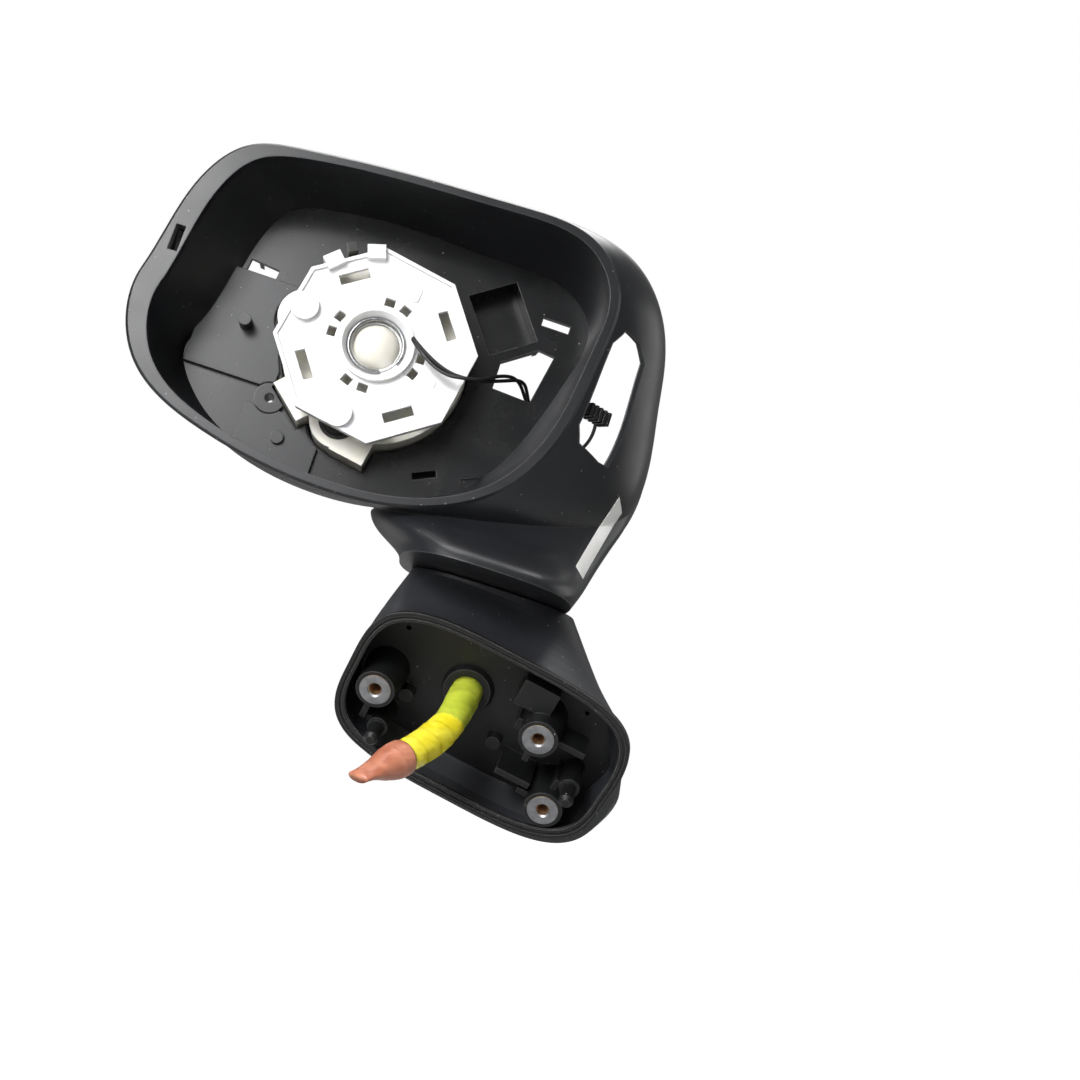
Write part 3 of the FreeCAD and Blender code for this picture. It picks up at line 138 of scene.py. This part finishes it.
def bump(tree, height, depth, normal=None):
    """A bump of depth mm from a 0..1 height."""
    inputs = {"Height": height, "Distance": depth * MM, "Strength": 1.0}
    if normal:
        inputs["Normal"] = normal
    return add(tree, "Bump", inputs).outputs[0]


def rounded(tree, radius):
    """The normal of edges that the mould or tool left rounded by radius mm."""
    return add(tree, "Bevel", {"Radius": radius * MM}, samples=4).outputs[0]


def painted_glint_edges(tree, radius):
    """0 on faces and in inner corners, rising to 1 on outer edges: the mask for a painted highlight along
    them.
    """
    soft = rounded(tree, radius)
    true = add(tree, "NewGeometry", {}).outputs["Normal"]
    along = add(tree, "VectorMath", {0: soft, 1: true}, operation="DOT_PRODUCT").outputs["Value"]
    open_air = add(tree, "AmbientOcclusion", {"Distance": 4 * MM}, samples=4).outputs["AO"]
    outer = ramp(tree, open_air, 0.55, 0.8, 0.0, 1.0)
    edge = ramp(tree, along, 0.995, 0.85, 0.0, 1.0)
    return add(tree, "Math", {0: edge, 1: outer}, operation="MULTIPLY").outputs[0]


def finish_material(material, tree, inputs):
    shader = add(tree, "BsdfPrincipled", inputs)
    out = add(tree, "OutputMaterial", {})
    tree.links.new(shader.outputs[0], out.inputs["Surface"])
    return material


def start_material(name):
    material = bpy.data.materials.new(name)
    material.use_nodes = True
    material.node_tree.nodes.clear()
    return material, material.node_tree


# ---- materials ------------------------------------------------------------------------------
def moulded(name, colour, lit, roughness, grain, depth, edge, dust=0.0, painted_glint_amount=0.3, **extra):
    """Injection-moulded plastic.

    colour and lit are the darkest and palest shade of its slow mottling, roughness the two ends of
    its gloss, grain the size and depth the height of the mould's texture in mm, edge the radius of
    its corners in mm. Dust settles as pale specks, and the argument after dust sets how strongly
    the outer corners are painted pale: a painted highlight standing in for glints on their rounding.
    """
    material, tree = start_material(name)
    where = place(tree)
    slow = noise(tree, where, 38.0, 4.0)
    fine = noise(tree, where, grain, 2.0)
    tone = blend_colour(tree, ramp(tree, slow, 0.35, 0.65, 0.0, 1.0), linear(colour), linear(lit))
    # Outer edges are painted pale: a painted highlight standing in for glints on their rounding.
    painted_glint_mask = painted_glint_edges(tree, edge)
    pale = [min(1.0, c * 2.0 + 0.2) for c in linear(lit)[:3]] + [1.0]
    tone = blend_colour(tree, ramp(tree, painted_glint_mask, 0.1, 0.9, 0.0, painted_glint_amount), tone, pale)
    if dust:
        motes = specks(tree, where, 5.0, 0.7)
        patchy = ramp(tree, noise(tree, where, 60.0, 2.0), 0.4, 0.55, 0.0, dust)
        amount = add(tree, "Math", {0: motes, 1: patchy}, operation="MULTIPLY").outputs[0]
        tone = blend_colour(tree, amount, tone, linear("#c9c9c6"))
    gloss = ramp(tree, noise(tree, where, 24.0, 3.0), 0.3, 0.7, roughness[0], roughness[1])
    normal = bump(tree, fine, depth, rounded(tree, edge))
    inputs = {"Base Color": tone, "Roughness": gloss, "Normal": normal, "IOR": 1.5}
    inputs.update(extra)
    return finish_material(material, tree, inputs)


def metal(name, colour, dull, roughness, streak, depth, edge, painted_bore=None):
    """Bare or plated metal: streak is the size of its drawing or casting marks in mm, by axis.

    The last argument is an axis and a pale warm colour for walls along it, where a thread was cut through
    the plating: the bare thread's warm tint, painted far paler than it is as a highlight standing in for
    light the deep bore doesn't get.
    """
    material, tree = start_material(name)
    where = place(tree)
    stretched = add(tree, "Mapping", {"Vector": where, "Scale": streak}).outputs[0]
    marks = noise(tree, stretched, 1.0, 4.0)
    stain = noise(tree, where, 5.0, 5.0)
    tone = blend_colour(tree, ramp(tree, stain, 0.4, 0.7, 0.0, 1.0), linear(colour), linear(dull))
    # Walls along the bore are painted pale and warm: the bare thread's tint plus a painted highlight.
    if painted_bore:
        facing = add(tree, "TexCoord", {}).outputs["Normal"]
        along = add(tree, "VectorMath", {0: facing, 1: painted_bore[0]}, operation="DOT_PRODUCT").outputs["Value"]
        square = add(tree, "Math", {0: along, 1: along}, operation="MULTIPLY").outputs[0]
        tone = blend_colour(tree, ramp(tree, square, 0.0, 0.3, 1.0, 0.0), tone, linear(painted_bore[1]))
    gloss = ramp(tree, marks, 0.3, 0.7, roughness[0], roughness[1])
    normal = bump(tree, marks, depth, rounded(tree, edge))
    inputs = {"Base Color": tone, "Roughness": gloss, "Metallic": 1.0, "Normal": normal}
    return finish_material(material, tree, inputs)


def insulation(name, colour, lit):
    """PVC insulation drawn over stranded wire: smooth, a little waxy, faintly rippled lengthwise."""
    material, tree = start_material(name)
    where = place(tree)
    ripple = noise(tree, where, 2.5, 3.0)
    tone = blend_colour(tree, ramp(tree, noise(tree, where, 14.0), 0.4, 0.6, 0.0, 1.0),
                        linear(colour), linear(lit))
    inputs = {"Base Color": tone, "Roughness": ramp(tree, ripple, 0.3, 0.7, 0.32, 0.48),
              "Normal": bump(tree, ripple, 0.05), "IOR": 1.53}
    return finish_material(material, tree, inputs)


def tape(name, colour, lit, gloss):
    """PVC harness tape: soft plastic film pulled tight, so it shines on the folds of each turn."""
    material, tree = start_material(name)
    where = place(tree)
    creases = add(tree, "Mapping", {"Vector": where, "Rotation": (0.4, 0.9, 0.7),
                                    "Scale": (1.0, 1.0, 2.2)}).outputs[0]
    folds = noise(tree, creases, 11.0, 1.5)
    tone = blend_colour(tree, ramp(tree, folds, 0.35, 0.62, 0.0, 1.0), linear(colour), linear(lit))
    normal = bump(tree, noise(tree, where, 1.6, 1.0), 0.02, bump(tree, folds, 1.1))
    inputs = {"Base Color": tone, "Roughness": ramp(tree, folds, 0.3, 0.7, gloss[0], gloss[1]),
              "Normal": normal, "IOR": 1.53}
    return finish_material(material, tree, inputs)


def clear_plastic(name):
    """Moulded clear polycarbonate: almost colourless, glossy, with faint flow lines."""
    material, tree = start_material(name)
    where = place(tree)
    flow = noise(tree, where, 7.0, 3.0)
    inputs = {"Base Color": linear("#eef3f2"), "Roughness": ramp(tree, flow, 0.3, 0.7, 0.03, 0.12),
              "Transmission Weight": 1.0, "IOR": 1.585,
              "Normal": bump(tree, flow, 0.12, rounded(tree, 0.3))}
    return finish_material(material, tree, inputs)


def paper(name):
    """Coated paper label: matt white with a faint fibre and a faint slow mottling towards cream."""
    material, tree = start_material(name)
    where = place(tree)
    fibre = noise(tree, where, 0.8, 5.0)
    tone = blend_colour(tree, ramp(tree, noise(tree, where, 18.0), 0.35, 0.7, 0.0, 1.0),
                        linear("#fafaf8"), linear("#efeeea"))
    inputs = {"Base Color": tone, "Roughness": ramp(tree, fibre, 0.3, 0.7, 0.45, 0.6),
              "Normal": bump(tree, fibre, 0.03), "IOR": 1.5}
    return finish_material(material, tree, inputs)


INSERT_AXIS = (0.0971, 0.829, 0.5507)


def make_materials():
    return {
        # Where a moulded entry gives a number after dust, it sets how strongly its outer edges are painted
        # pale, a painted highlight standing in for glints.
        # Black ASA from a spark-eroded mould: satin, so the rim carries long soft highlights.
        "shell_black": moulded("asa_shell", "#1b1c1f", "#202124", (0.3, 0.38), 0.35, 0.008, 0.7, 0.5, 0.4),
        # Black polypropylene from a polished mould: deeper black with sharper glints on its ribs, partly
        # painted as strongly paled edges.
        "frame_black": moulded("pp_frame", "#111213", "#151618", (0.22, 0.3), 1.4, 0.003, 0.55, 0.6, 0.75),
        # Talc-filled polypropylene from a grained mould: greyer and flatter than the shell.
        "foot_grey": moulded("pp_foot", "#222327", "#292a2e", (0.4, 0.5), 0.3, 0.01, 0.8, 0.5, 0.55),
        # Glass-filled nylon: dull black with a faint fibre bloom.
        "nylon_black": moulded("nylon_base", "#0a0b0c", "#0e0f10", (0.42, 0.52), 0.7, 0.012, 0.6, 0.8, 0.3),
        # Moulded rubber: no gloss, a powdery bloom.
        "rubber_black": moulded("epdm_rubber", "#0c0c0d", "#131314", (0.5, 0.65), 0.5, 0.01, 0.5, 0.3, 0.55),
        # White acetal: waxy and slightly translucent, so thin walls glow.
        "white_acetal": moulded("white_pom", "#f2f3f4", "#f8f8f9", (0.26, 0.38), 1.1, 0.01, 0.5,
                                **{"Subsurface Weight": 0.15, "Subsurface Radius": (0.004, 0.004, 0.0035),
                                   "Subsurface Scale": 1.0}),
        # Natural acetal: the same plastic without pigment, creamy in its thick parts.
        "ivory_plastic": moulded("natural_pom", "#efebdc", "#f6f3ea", (0.28, 0.4), 1.1, 0.01, 0.5,
                                 **{"Subsurface Weight": 0.15, "Subsurface Radius": (0.004, 0.0035, 0.002),
                                    "Subsurface Scale": 1.0}),
        # Hard-drawn spring wire: bright along the wire.
        "spring_steel": metal("spring_wire", "#9a9b9c", "#757677", (0.18, 0.34), (1, 1, 6), 0.01, 0.2),
        # Blue-passivated zinc on steel screws: bright with a cold tint.
        "zinc_screw": metal("zinc_blue", "#c9d6e8", "#9fb0c6", (0.22, 0.42), (2, 2, 2), 0.02, 0.25),
        # Turned zinc-plated inserts: grey, with tool marks on the face and warm bare thread inside, painted
        # pale inside as a highlight the deep bore gets no light for.
        "insert_steel": metal("zinc_grey", "#a9aaad", "#8b8c90", (0.4, 0.58), (3, 3, 3), 0.03, 0.25,
                              (INSERT_AXIS, "#e8c8a4")),
        # Die-cast aluminium: pale grey, pebbled skin.
        "cast_alloy": metal("die_cast", "#a6a8ac", "#86888c", (0.42, 0.6), (1.4, 1.4, 1.4), 0.05, 0.6),
        # Sintered steel detent rings: dark and porous.
        "sintered_steel": metal("sintered", "#77787b", "#55565a", (0.5, 0.7), (2.5, 2.5, 2.5), 0.06, 0.3),
        # Nickel-plated motor cans.
        "motor_steel": metal("nickel_can", "#c3c4c4", "#a5a6a6", (0.2, 0.34), (1, 1, 5), 0.01, 0.3),
        # Tinned brass crimp terminals.
        "tinned_brass": metal("tinned", "#d6d2c2", "#b2a888", (0.24, 0.4), (2, 2, 2), 0.02, 0.15),
        "clear_cover": clear_plastic("clear_pc"),
        "yellow_tape": tape("pvc_tape_yellow", "#efdd2a", "#fdf048", (0.22, 0.36)),
        # A darker, greener copy of the yellow tape, painted on the harness's first stretch as the foot's
        # shadow.
        "painted_shadow_tape": tape("pvc_tape_painted_shadow", "#b6c338", "#c6d142", (0.4, 0.5)),
        "brown_tape": tape("pvc_tape_brown", "#b06a50", "#c98468", (0.3, 0.45)),
        "wire_red": insulation("pvc_red", "#c4182f", "#d72a44"),
        "wire_pink": insulation("pvc_pink", "#e58fa6", "#efa7b9"),
        "wire_purple": insulation("pvc_purple", "#8a4fb0", "#a067c4"),
        "wire_blue": insulation("pvc_blue", "#1f62c9", "#3a7ddc"),
        "wire_black": insulation("pvc_black", "#131314", "#1d1d1f"),
        "label_white": paper("label_paper"),
    }


NODE_LOOK = {
    "visor_shell": "shell_black", "frame_plate": "frame_black", "pivot_arm": "nylon_black",
    "frame_screws": "zinc_screw", "actuator_screws": "zinc_screw", "arm_screws": "zinc_screw",
    "stand_screws": "zinc_screw", "actuator_housing": "ivory_plastic", "pivot_ball": "ivory_plastic",
    "gimbal_ring": "white_acetal", "carrier_plate": "white_acetal", "retaining_spring": "spring_steel",
    "connector_block": "nylon_black", "connector_cover": "clear_cover", "terminals": "tinned_brass",
    "foot_cover": "foot_grey", "foot_base": "nylon_black", "foot_gasket": "rubber_black",
    "threaded_inserts": "insert_steel", "pivot_stand": "cast_alloy", "pivot_tube": "motor_steel",
    "fold_spring": "spring_steel", "spring_washer": "zinc_screw", "retaining_ring": "spring_steel",
    "cable_grommet": "rubber_black", "lamp_plug": "rubber_black", "detent_lower": "sintered_steel",
    "detent_upper": "sintered_steel", "jack_up_down": "white_acetal", "jack_left_right": "white_acetal",
    "nut_gear_up_down": "white_acetal", "nut_gear_left_right": "white_acetal",
    "boot_up_down": "rubber_black", "boot_left_right": "rubber_black",
    "motor_up_down": "motor_steel", "motor_left_right": "motor_steel",
    "worm_up_down": "ivory_plastic", "worm_left_right": "ivory_plastic",
}


def dress_nodes(looks):
    for name, look in NODE_LOOK.items():
        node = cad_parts[name]
        node.data.materials.clear()
        node.data.materials.append(looks[look])


# ---- cords ----------------------------------------------------------------------------------
HARNESS = ((-0.00980, 0.02209, 0.01931), (-0.01164, 0.00634, 0.00885), (-0.01600, -0.00800, -0.00600),
           (-0.02850, -0.02600, -0.02200), (-0.04600, -0.04500, -0.03600))
WIRES = {
    "wire_red": (0.1978, (
        (-0.01106, 0.02186, 0.02133), (-0.01360, 0.02840, 0.03100), (-0.01310, 0.02840, 0.05000),
        (-0.01360, 0.02840, 0.07000), (-0.01310, 0.02840, 0.09000), (-0.01360, 0.02840, 0.11000),
        (-0.01960, 0.03640, 0.12700), (-0.03560, 0.04440, 0.14250), (-0.05300, 0.04490, 0.14400),
        (-0.06900, 0.04190, 0.14426), (-0.08200, 0.03940, 0.14501), (-0.10034, 0.03940, 0.14501))),
    "wire_pink": (0.2026, (
        (-0.00791, 0.02186, 0.02078), (-0.01040, 0.02840, 0.03100), (-0.00990, 0.02840, 0.05000),
        (-0.01040, 0.02840, 0.07000), (-0.00990, 0.02840, 0.09000), (-0.01040, 0.02840, 0.11000),
        (-0.01640, 0.03640, 0.12700), (-0.03240, 0.04440, 0.14330), (-0.05300, 0.04490, 0.14720),
        (-0.06900, 0.04190, 0.15025), (-0.08200, 0.03940, 0.15300), (-0.10006, 0.03940, 0.15300))),
    "wire_purple": (0.2076, (
        (-0.01152, 0.02365, 0.01872), (-0.01360, 0.03160, 0.03100), (-0.01310, 0.03160, 0.05000),
        (-0.01360, 0.03160, 0.07000), (-0.01310, 0.03160, 0.09000), (-0.01360, 0.03160, 0.11000),
        (-0.01960, 0.03960, 0.12700), (-0.03560, 0.04760, 0.14480), (-0.05300, 0.04810, 0.15320),
        (-0.06900, 0.04510, 0.16150), (-0.08200, 0.03940, 0.16800), (-0.09954, 0.03940, 0.16800))),
    "wire_blue": (0.2145, (
        (-0.00837, 0.02365, 0.01817), (-0.01040, 0.03160, 0.03100), (-0.00990, 0.03160, 0.05000),
        (-0.01040, 0.03160, 0.07000), (-0.00990, 0.03160, 0.09000), (-0.01040, 0.03160, 0.11000),
        (-0.01640, 0.03960, 0.12700), (-0.03240, 0.04760, 0.14560), (-0.05300, 0.04810, 0.15640),
        (-0.06900, 0.04510, 0.16749), (-0.08200, 0.03940, 0.17599), (-0.09926, 0.03940, 0.17599))),
    "lamp_lead": (0.1758, (
        (-0.00558, 0.02276, 0.01902), (-0.00780, 0.03000, 0.03100), (-0.00730, 0.03000, 0.05000),
        (-0.00780, 0.03000, 0.07000), (-0.00730, 0.03000, 0.09000), (-0.00780, 0.03000, 0.11000),
        (-0.00800, 0.04000, 0.12700), (0.00400, 0.04000, 0.14600), (0.01300, 0.02200, 0.15700),
        (0.00900, 0.00150, 0.16100))),
    "heater_lead_one": (0.1352, (
        (-0.08810, -0.00945, 0.16700), (-0.07257, -0.00902, 0.15638), (-0.05339, -0.00860, 0.15600),
        (-0.04056, 0.00048, 0.16370), (-0.03071, 0.01233, 0.17150), (-0.02563, 0.02963, 0.16975),
        (-0.01570, 0.04327, 0.15200), (-0.00926, 0.03954, 0.12953))),
    "heater_lead_two": (0.1353, (
        (-0.08790, -0.00655, 0.16700), (-0.07343, -0.00898, 0.15362), (-0.05261, -0.01140, 0.15600),
        (-0.04144, -0.00048, 0.16630), (-0.03329, 0.01367, 0.17150), (-0.02637, 0.02837, 0.16725),
        (-0.01430, 0.04073, 0.15200), (-0.00674, 0.03846, 0.13047))),
}
WIRE_DIAMETER = 0.0018
CROSSING = ("wire_red", "wire_pink", "wire_purple", "wire_blue", "lamp_lead")
WIRE_LOOK = {"wire_red": "wire_red", "wire_pink": "wire_pink", "wire_purple": "wire_purple",
             "wire_blue": "wire_blue", "lamp_lead": "wire_black", "heater_lead_one": "wire_black",
             "heater_lead_two": "wire_black"}


def route_curve(name, points, radius):
    """A smooth cord along its route."""
    curve = bpy.data.curves.new(name, "CURVE")
    curve.dimensions = "3D"
    spline = curve.splines.new("NURBS")
    spline.points.add(len(points) - 1)
    for point, place_of in zip(spline.points, points):
        point.co = (*place_of, 1.0)
    spline.order_u = 3
    spline.use_endpoint_u = True
    spline.resolution_u = 12
    curve.bevel_depth = radius
    curve.bevel_resolution = 5
    curve.use_fill_caps = True
    piece = bpy.data.objects.new(name, curve)
    bpy.context.collection.objects.link(piece)
    return piece


def centreline(points):
    """Points along the smooth route, read from its curve."""
    piece = route_curve("route", points, 0.0)
    piece.data.use_fill_caps = False
    bpy.context.view_layer.update()
    line = bpy.data.meshes.new_from_object(piece)
    found = [v.co.copy() for v in line.vertices]
    bpy.data.meshes.remove(line)
    bpy.data.objects.remove(piece)
    return found


def make_wires(looks):
    for name, (length, points) in WIRES.items():
        curve = route_curve(name + "_route", points, WIRE_DIAMETER / 2)
        bpy.context.view_layer.update()
        wire = bpy.data.objects.new(name + "_insulation", bpy.data.meshes.new_from_object(curve))
        bpy.data.objects.remove(curve)
        bpy.context.collection.objects.link(wire)
        for face in wire.data.polygons:
            face.use_smooth = True
        wire.data.materials.clear()
        wire.data.materials.append(looks[WIRE_LOOK[name]])
        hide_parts(name)
        if name in CROSSING:
            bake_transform(wire)
        else:
            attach(wire, "head")
        [list(p) for p in centreline(points)]


def build_mesh(name, rings):
    """A skin over rings of points. Each ring is closed, and so are both ends."""
    mesh = bmesh.new()
    rows = [[mesh.verts.new(p) for p in ring] for ring in rings]
    count = len(rows[0])
    for low, high in zip(rows, rows[1:]):
        for i in range(count):
            j = (i + 1) % count
            mesh.faces.new((low[i], low[j], high[j], high[i]))
    mesh.faces.new(rows[0][::-1])
    mesh.faces.new(rows[-1])
    data = bpy.data.meshes.new(name)
    bmesh.ops.recalc_face_normals(mesh, faces=mesh.faces)
    mesh.to_mesh(data)
    mesh.free()
    for face in data.polygons:
        face.use_smooth = True
    piece = bpy.data.objects.new(name, data)
    bpy.context.collection.objects.link(piece)
    return piece


def frames_along(line):
    """Each point of a line with two directions across it that turn as little as they can."""
    across = (line[1] - line[0]).cross(Vector((0, 0, 1))).normalized()
    out = []
    for i, point in enumerate(line):
        along = (line[min(i + 1, len(line) - 1)] - line[max(i - 1, 0)]).normalized()
        across = (across - along * across.dot(along)).normalized()
        out.append((point, across, along.cross(across)))
    return out


def spaced(line, step):
    """The same line with points step apart, for a skin with even faces."""
    out = [line[0]]
    for point in line[1:]:
        gap = (point - out[-1]).length
        while gap > step:
            out.append(out[-1].lerp(point, step / gap))
            gap = (point - out[-1]).length
    out.append(line[-1])
    return out


TAPE_TURN = 0.0095
TAPE_STEP = 0.25 * MM
TAPE_LUMP = 0.09 * MM
TAPE_SINK = 0.45 * MM


def taped_rings(line, radius, around, seed, squash=None):
    """Rings of a tape-wound bundle: each turn of tape overlaps the last, and lumps show through."""
    rng = random.Random(seed)
    lumps = [(rng.uniform(0, 6.28), rng.uniform(90, 260), rng.randint(2, 4)) for _ in range(4)]
    rings = []
    travelled = 0.0
    before = line[0]
    total = sum((b - a).length for a, b in zip(line, line[1:]))
    for point, side, top in frames_along(line):
        travelled += (point - before).length
        before = point
        share = travelled / total
        ring = []
        for k in range(around):
            angle = 2 * math.pi * k / around
            turn = (travelled / TAPE_TURN - angle / (2 * math.pi)) % 1.0
            step = TAPE_STEP * (1 - turn)
            lump = sum(math.sin(n * angle + phase + rate * travelled) for phase, rate, n in lumps)
            reach = radius - TAPE_SINK + step + TAPE_LUMP * lump
            wide, thick = squash(share) if squash else (1.0, 1.0)
            ring.append(point + side * (math.cos(angle) * reach * wide)
                        + top * (math.sin(angle) * reach * thick))
        rings.append(ring)
    return rings


def pressed(share, start, narrow, thin):
    """How wide and how thick the bundle is: round up to start, then pressed flat towards the tip."""
    late = min(1.0, max(0.0, (share - start) / (1.0 - start)))
    late = late * late * (3 - 2 * late)
    return 1.0 - narrow * late, 1.0 - thin * late


# A flat cut across the harness: faces behind it take the darker tape, painted as the foot's shadow.
PAINTED_SHADOW_EDGE = (-0.0150, -0.0060, -0.0030)
PAINTED_SHADOW_FACES = (-0.10, -0.62, -0.78)
HARNESS_RADIUS = 8.0 * MM
TIP_RADIUS = 8.8 * MM
TIP_LENGTH = 0.026


def make_harness(looks):
    """The taped loom that leaves the foot. Its first stretch, up to a flat cut, takes a darker, greener copy
    of the yellow tape: a painted shadow of the foot.
    """
    line = spaced(centreline(HARNESS), 0.7 * MM)
    rings = taped_rings(line, HARNESS_RADIUS, 40, 5, lambda share: pressed(share, 0.68, 0.62, 0.9))
    sleeve = build_mesh("harness_sleeve", rings)
    sleeve.data.materials.append(looks["yellow_tape"])
    sleeve.data.materials.append(looks["painted_shadow_tape"])
    # Faces on one side of the flat cut take the darker tape: painted shadow of the foot.
    for face in sleeve.data.polygons:
        edge = (face.center - Vector(PAINTED_SHADOW_EDGE)).dot(Vector(PAINTED_SHADOW_FACES))
        face.material_index = 1 if edge < 0 else 0
    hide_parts("harness_cord")
    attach(sleeve, "foot")
    return sleeve, line


def make_tip(looks, line):
    """Brown tape over the last stretch, folded flat beyond the bundle."""
    end = [p for p in line if (p - Vector(HARNESS[-1])).length < TIP_LENGTH]
    end.append(end[-1] + (end[-1] - end[-4]).normalized() * 2 * MM)
    rings = taped_rings(end, TIP_RADIUS, 40, 8, lambda share: pressed(share, 0.05, 0.36, 0.72))
    tip = build_mesh("harness_tip", rings)
    tip.data.materials.append(looks["brown_tape"])
    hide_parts("harness_end")
    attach(tip, "foot")
    return tip


# ---- label ----------------------------------------------------------------------------------
LABEL = ((31.8, 129), (36.6, 124), (24.8, 81.5), (19.7, 86))
LABEL_LIFT = 0.25 * MM


def make_label(looks):
    """The blank sticker, pressed onto the curved shell."""
    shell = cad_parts["visor_shell"]
    tree = BVHTree.FromObject(shell, bpy.context.evaluated_depsgraph_get())
    corners = [Vector((x * MM, 0, z * MM)) for x, z in LABEL]
    across, along = 8, 30
    mesh = bmesh.new()
    grid = []
    for i in range(along + 1):
        row = []
        for j in range(across + 1):
            left = corners[0].lerp(corners[3], i / along)
            right = corners[1].lerp(corners[2], i / along)
            start = left.lerp(right, j / across) + Vector((0, -0.05, 0))
            hit, normal, _, _ = tree.ray_cast(start, Vector((0, 1, 0)))
            row.append(mesh.verts.new(hit + normal * LABEL_LIFT))
        grid.append(row)
    for a, b in zip(grid, grid[1:]):
        for j in range(across):
            mesh.faces.new((a[j], a[j + 1], b[j + 1], b[j]))
    data = bpy.data.meshes.new("sticker")
    mesh.to_mesh(data)
    mesh.free()
    label = bpy.data.objects.new("sticker", data)
    bpy.context.collection.objects.link(label)
    thick = label.modifiers.new("paper", "SOLIDIFY")
    thick.thickness = 0.15 * MM
    data.materials.append(looks["label_white"])
    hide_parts("blank_label")
    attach(label, "head")


# ---- pads on the glass carrier ---------------------------------------------------------------
PADS = {"carrier_pad_upper": ((-105.6, 195.9), (-91.0, 195.3), (-91.6, 186.8), (-105.8, 187.4)),
        "carrier_pad_lower": ((-80.3, 154.9), (-70.8, 152.4), (-71.2, 148.2), (-79.9, 149.8))}


def softened(corners, steps=5, reach=0.18):
    """The outline of a four-cornered pad with its corners rounded."""
    out = []
    for i, corner in enumerate(corners):
        before, here, after = Vector(corners[i - 1]), Vector(corner), Vector(corners[(i + 1) % 4])
        first, last = here.lerp(before, reach), here.lerp(after, reach)
        for k in range(steps):
            t = k / (steps - 1)
            out.append(first.lerp(here, t).lerp(here.lerp(last, t), t))
    return out


def make_pads(looks):
    """Two low pads on the face of the carrier."""
    for name, corners in PADS.items():
        outline = softened(corners)
        middle = sum(outline, Vector((0, 0))) / len(outline)
        rings = []
        for share, y in ((1.0, 0.3), (1.0, -0.15), (0.97, -0.3), (0.93, -0.34)):
            ring = [middle.lerp(p, share) for p in outline]
            rings.append([Vector((x * MM, y * MM, z * MM)) for x, z in ring])
        pad = build_mesh(name, rings)
        for face in pad.data.polygons:
            face.use_smooth = len(face.vertices) == 4
        pad.data.materials.append(looks["white_acetal"])
        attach(pad, "carrier")


# ---- stage ----------------------------------------------------------------------------------
FLOOR_GAP = 0.06
FLOOR_HALF = 9.0


def make_floor():
    low = cad_low.z - FLOOR_GAP
    mesh = bmesh.new()
    bmesh.ops.create_grid(mesh, x_segments=8, y_segments=8, size=FLOOR_HALF)
    bmesh.ops.translate(mesh, verts=mesh.verts, vec=(0, 0, low))
    data = bpy.data.meshes.new("floor")
    mesh.to_mesh(data)
    mesh.free()
    floor = bpy.data.objects.new("floor", data)
    bpy.context.collection.objects.link(floor)
    material, tree = start_material("studio_paper")
    fibre = noise(tree, place(tree), 2.0)
    seen = add(tree, "LightPath", {}).outputs["Is Camera Ray"]
    finish_material(material, tree, {"Base Color": linear("#b4b4b3"), "Roughness": 0.8,
                                     "Normal": bump(tree, fibre, 0.05), "Emission Color": linear("#ffffff"),
                                     "Emission Strength": ramp(tree, seen, 0.0, 1.0, 0.0, 0.96)})
    data.materials.append(material)


def lamp(name, place_at, target, size, power, spread=180):
    """A soft box aimed at target. A grid narrows its light to spread degrees."""
    light = bpy.data.lights.new(name, "AREA")
    light.shape = "RECTANGLE"
    light.size, light.size_y = size
    light.energy = power
    light.spread = math.radians(spread)
    holder = bpy.data.objects.new(name, light)
    holder.location = place_at
    holder.rotation_mode = "QUATERNION"
    holder.rotation_quaternion = (Vector(target) - Vector(place_at)).to_track_quat("-Z", "Y")
    bpy.context.collection.objects.link(holder)


SKY_ON_OBJECT = 0.17


def light_studio(right, up, back):
    scene = bpy.context.scene
    scene.view_settings.view_transform = "Standard"
    world = bpy.data.worlds.new("studio")
    scene.world = world
    world.use_nodes = True
    tree = world.node_tree
    tree.nodes.clear()
    seen = add(tree, "LightPath", {}).outputs["Is Camera Ray"]
    strength = ramp(tree, seen, 0.0, 1.0, SKY_ON_OBJECT, 1.0)
    sky = add(tree, "Background", {"Color": linear("#ffffff"), "Strength": strength})
    out = add(tree, "OutputWorld", {})
    tree.links.new(sky.outputs[0], out.inputs["Surface"])
    centre = (cad_low + cad_high) / 2
    lamp("top_box", centre + Vector((-0.1, 0.2, 1.0)), centre, (1.0, 0.6), 12)
    lamp("left_box", centre + Vector((-0.8, -0.5, 0.75)), centre, (0.25, 0.7), 1.5)
    lamp("lip_box", centre + Vector((-0.52, -0.9, 0.5)), centre, (0.25, 0.25), 3)
    lamp("front_box", centre + back * 1.0 + up * 0.5 - right * 0.35, centre, (0.8, 0.8), 7)
    lamp("right_box", centre + Vector((0.85, 0.3, 0.4)), centre, (0.6, 0.6), 1.2)
    lamp("foot_box", Vector((-0.55, -0.85, 0.35)), Vector((-0.01, 0, 0.02)), (0.4, 0.4), 0.5, 40)
    lamp("rear_box", centre - back * 1.2 + up * 0.8, centre, (1.2, 0.6), 3)


# ---- run ------------------------------------------------------------------------------------
axes = set_camera()
looks = make_materials()
make_wires(looks)
sleeve, sleeve_line = make_harness(looks)
tip = make_tip(looks, sleeve_line)
dress_nodes(looks)
make_label(looks)
make_pads(looks)
make_floor()
light_studio(*axes)
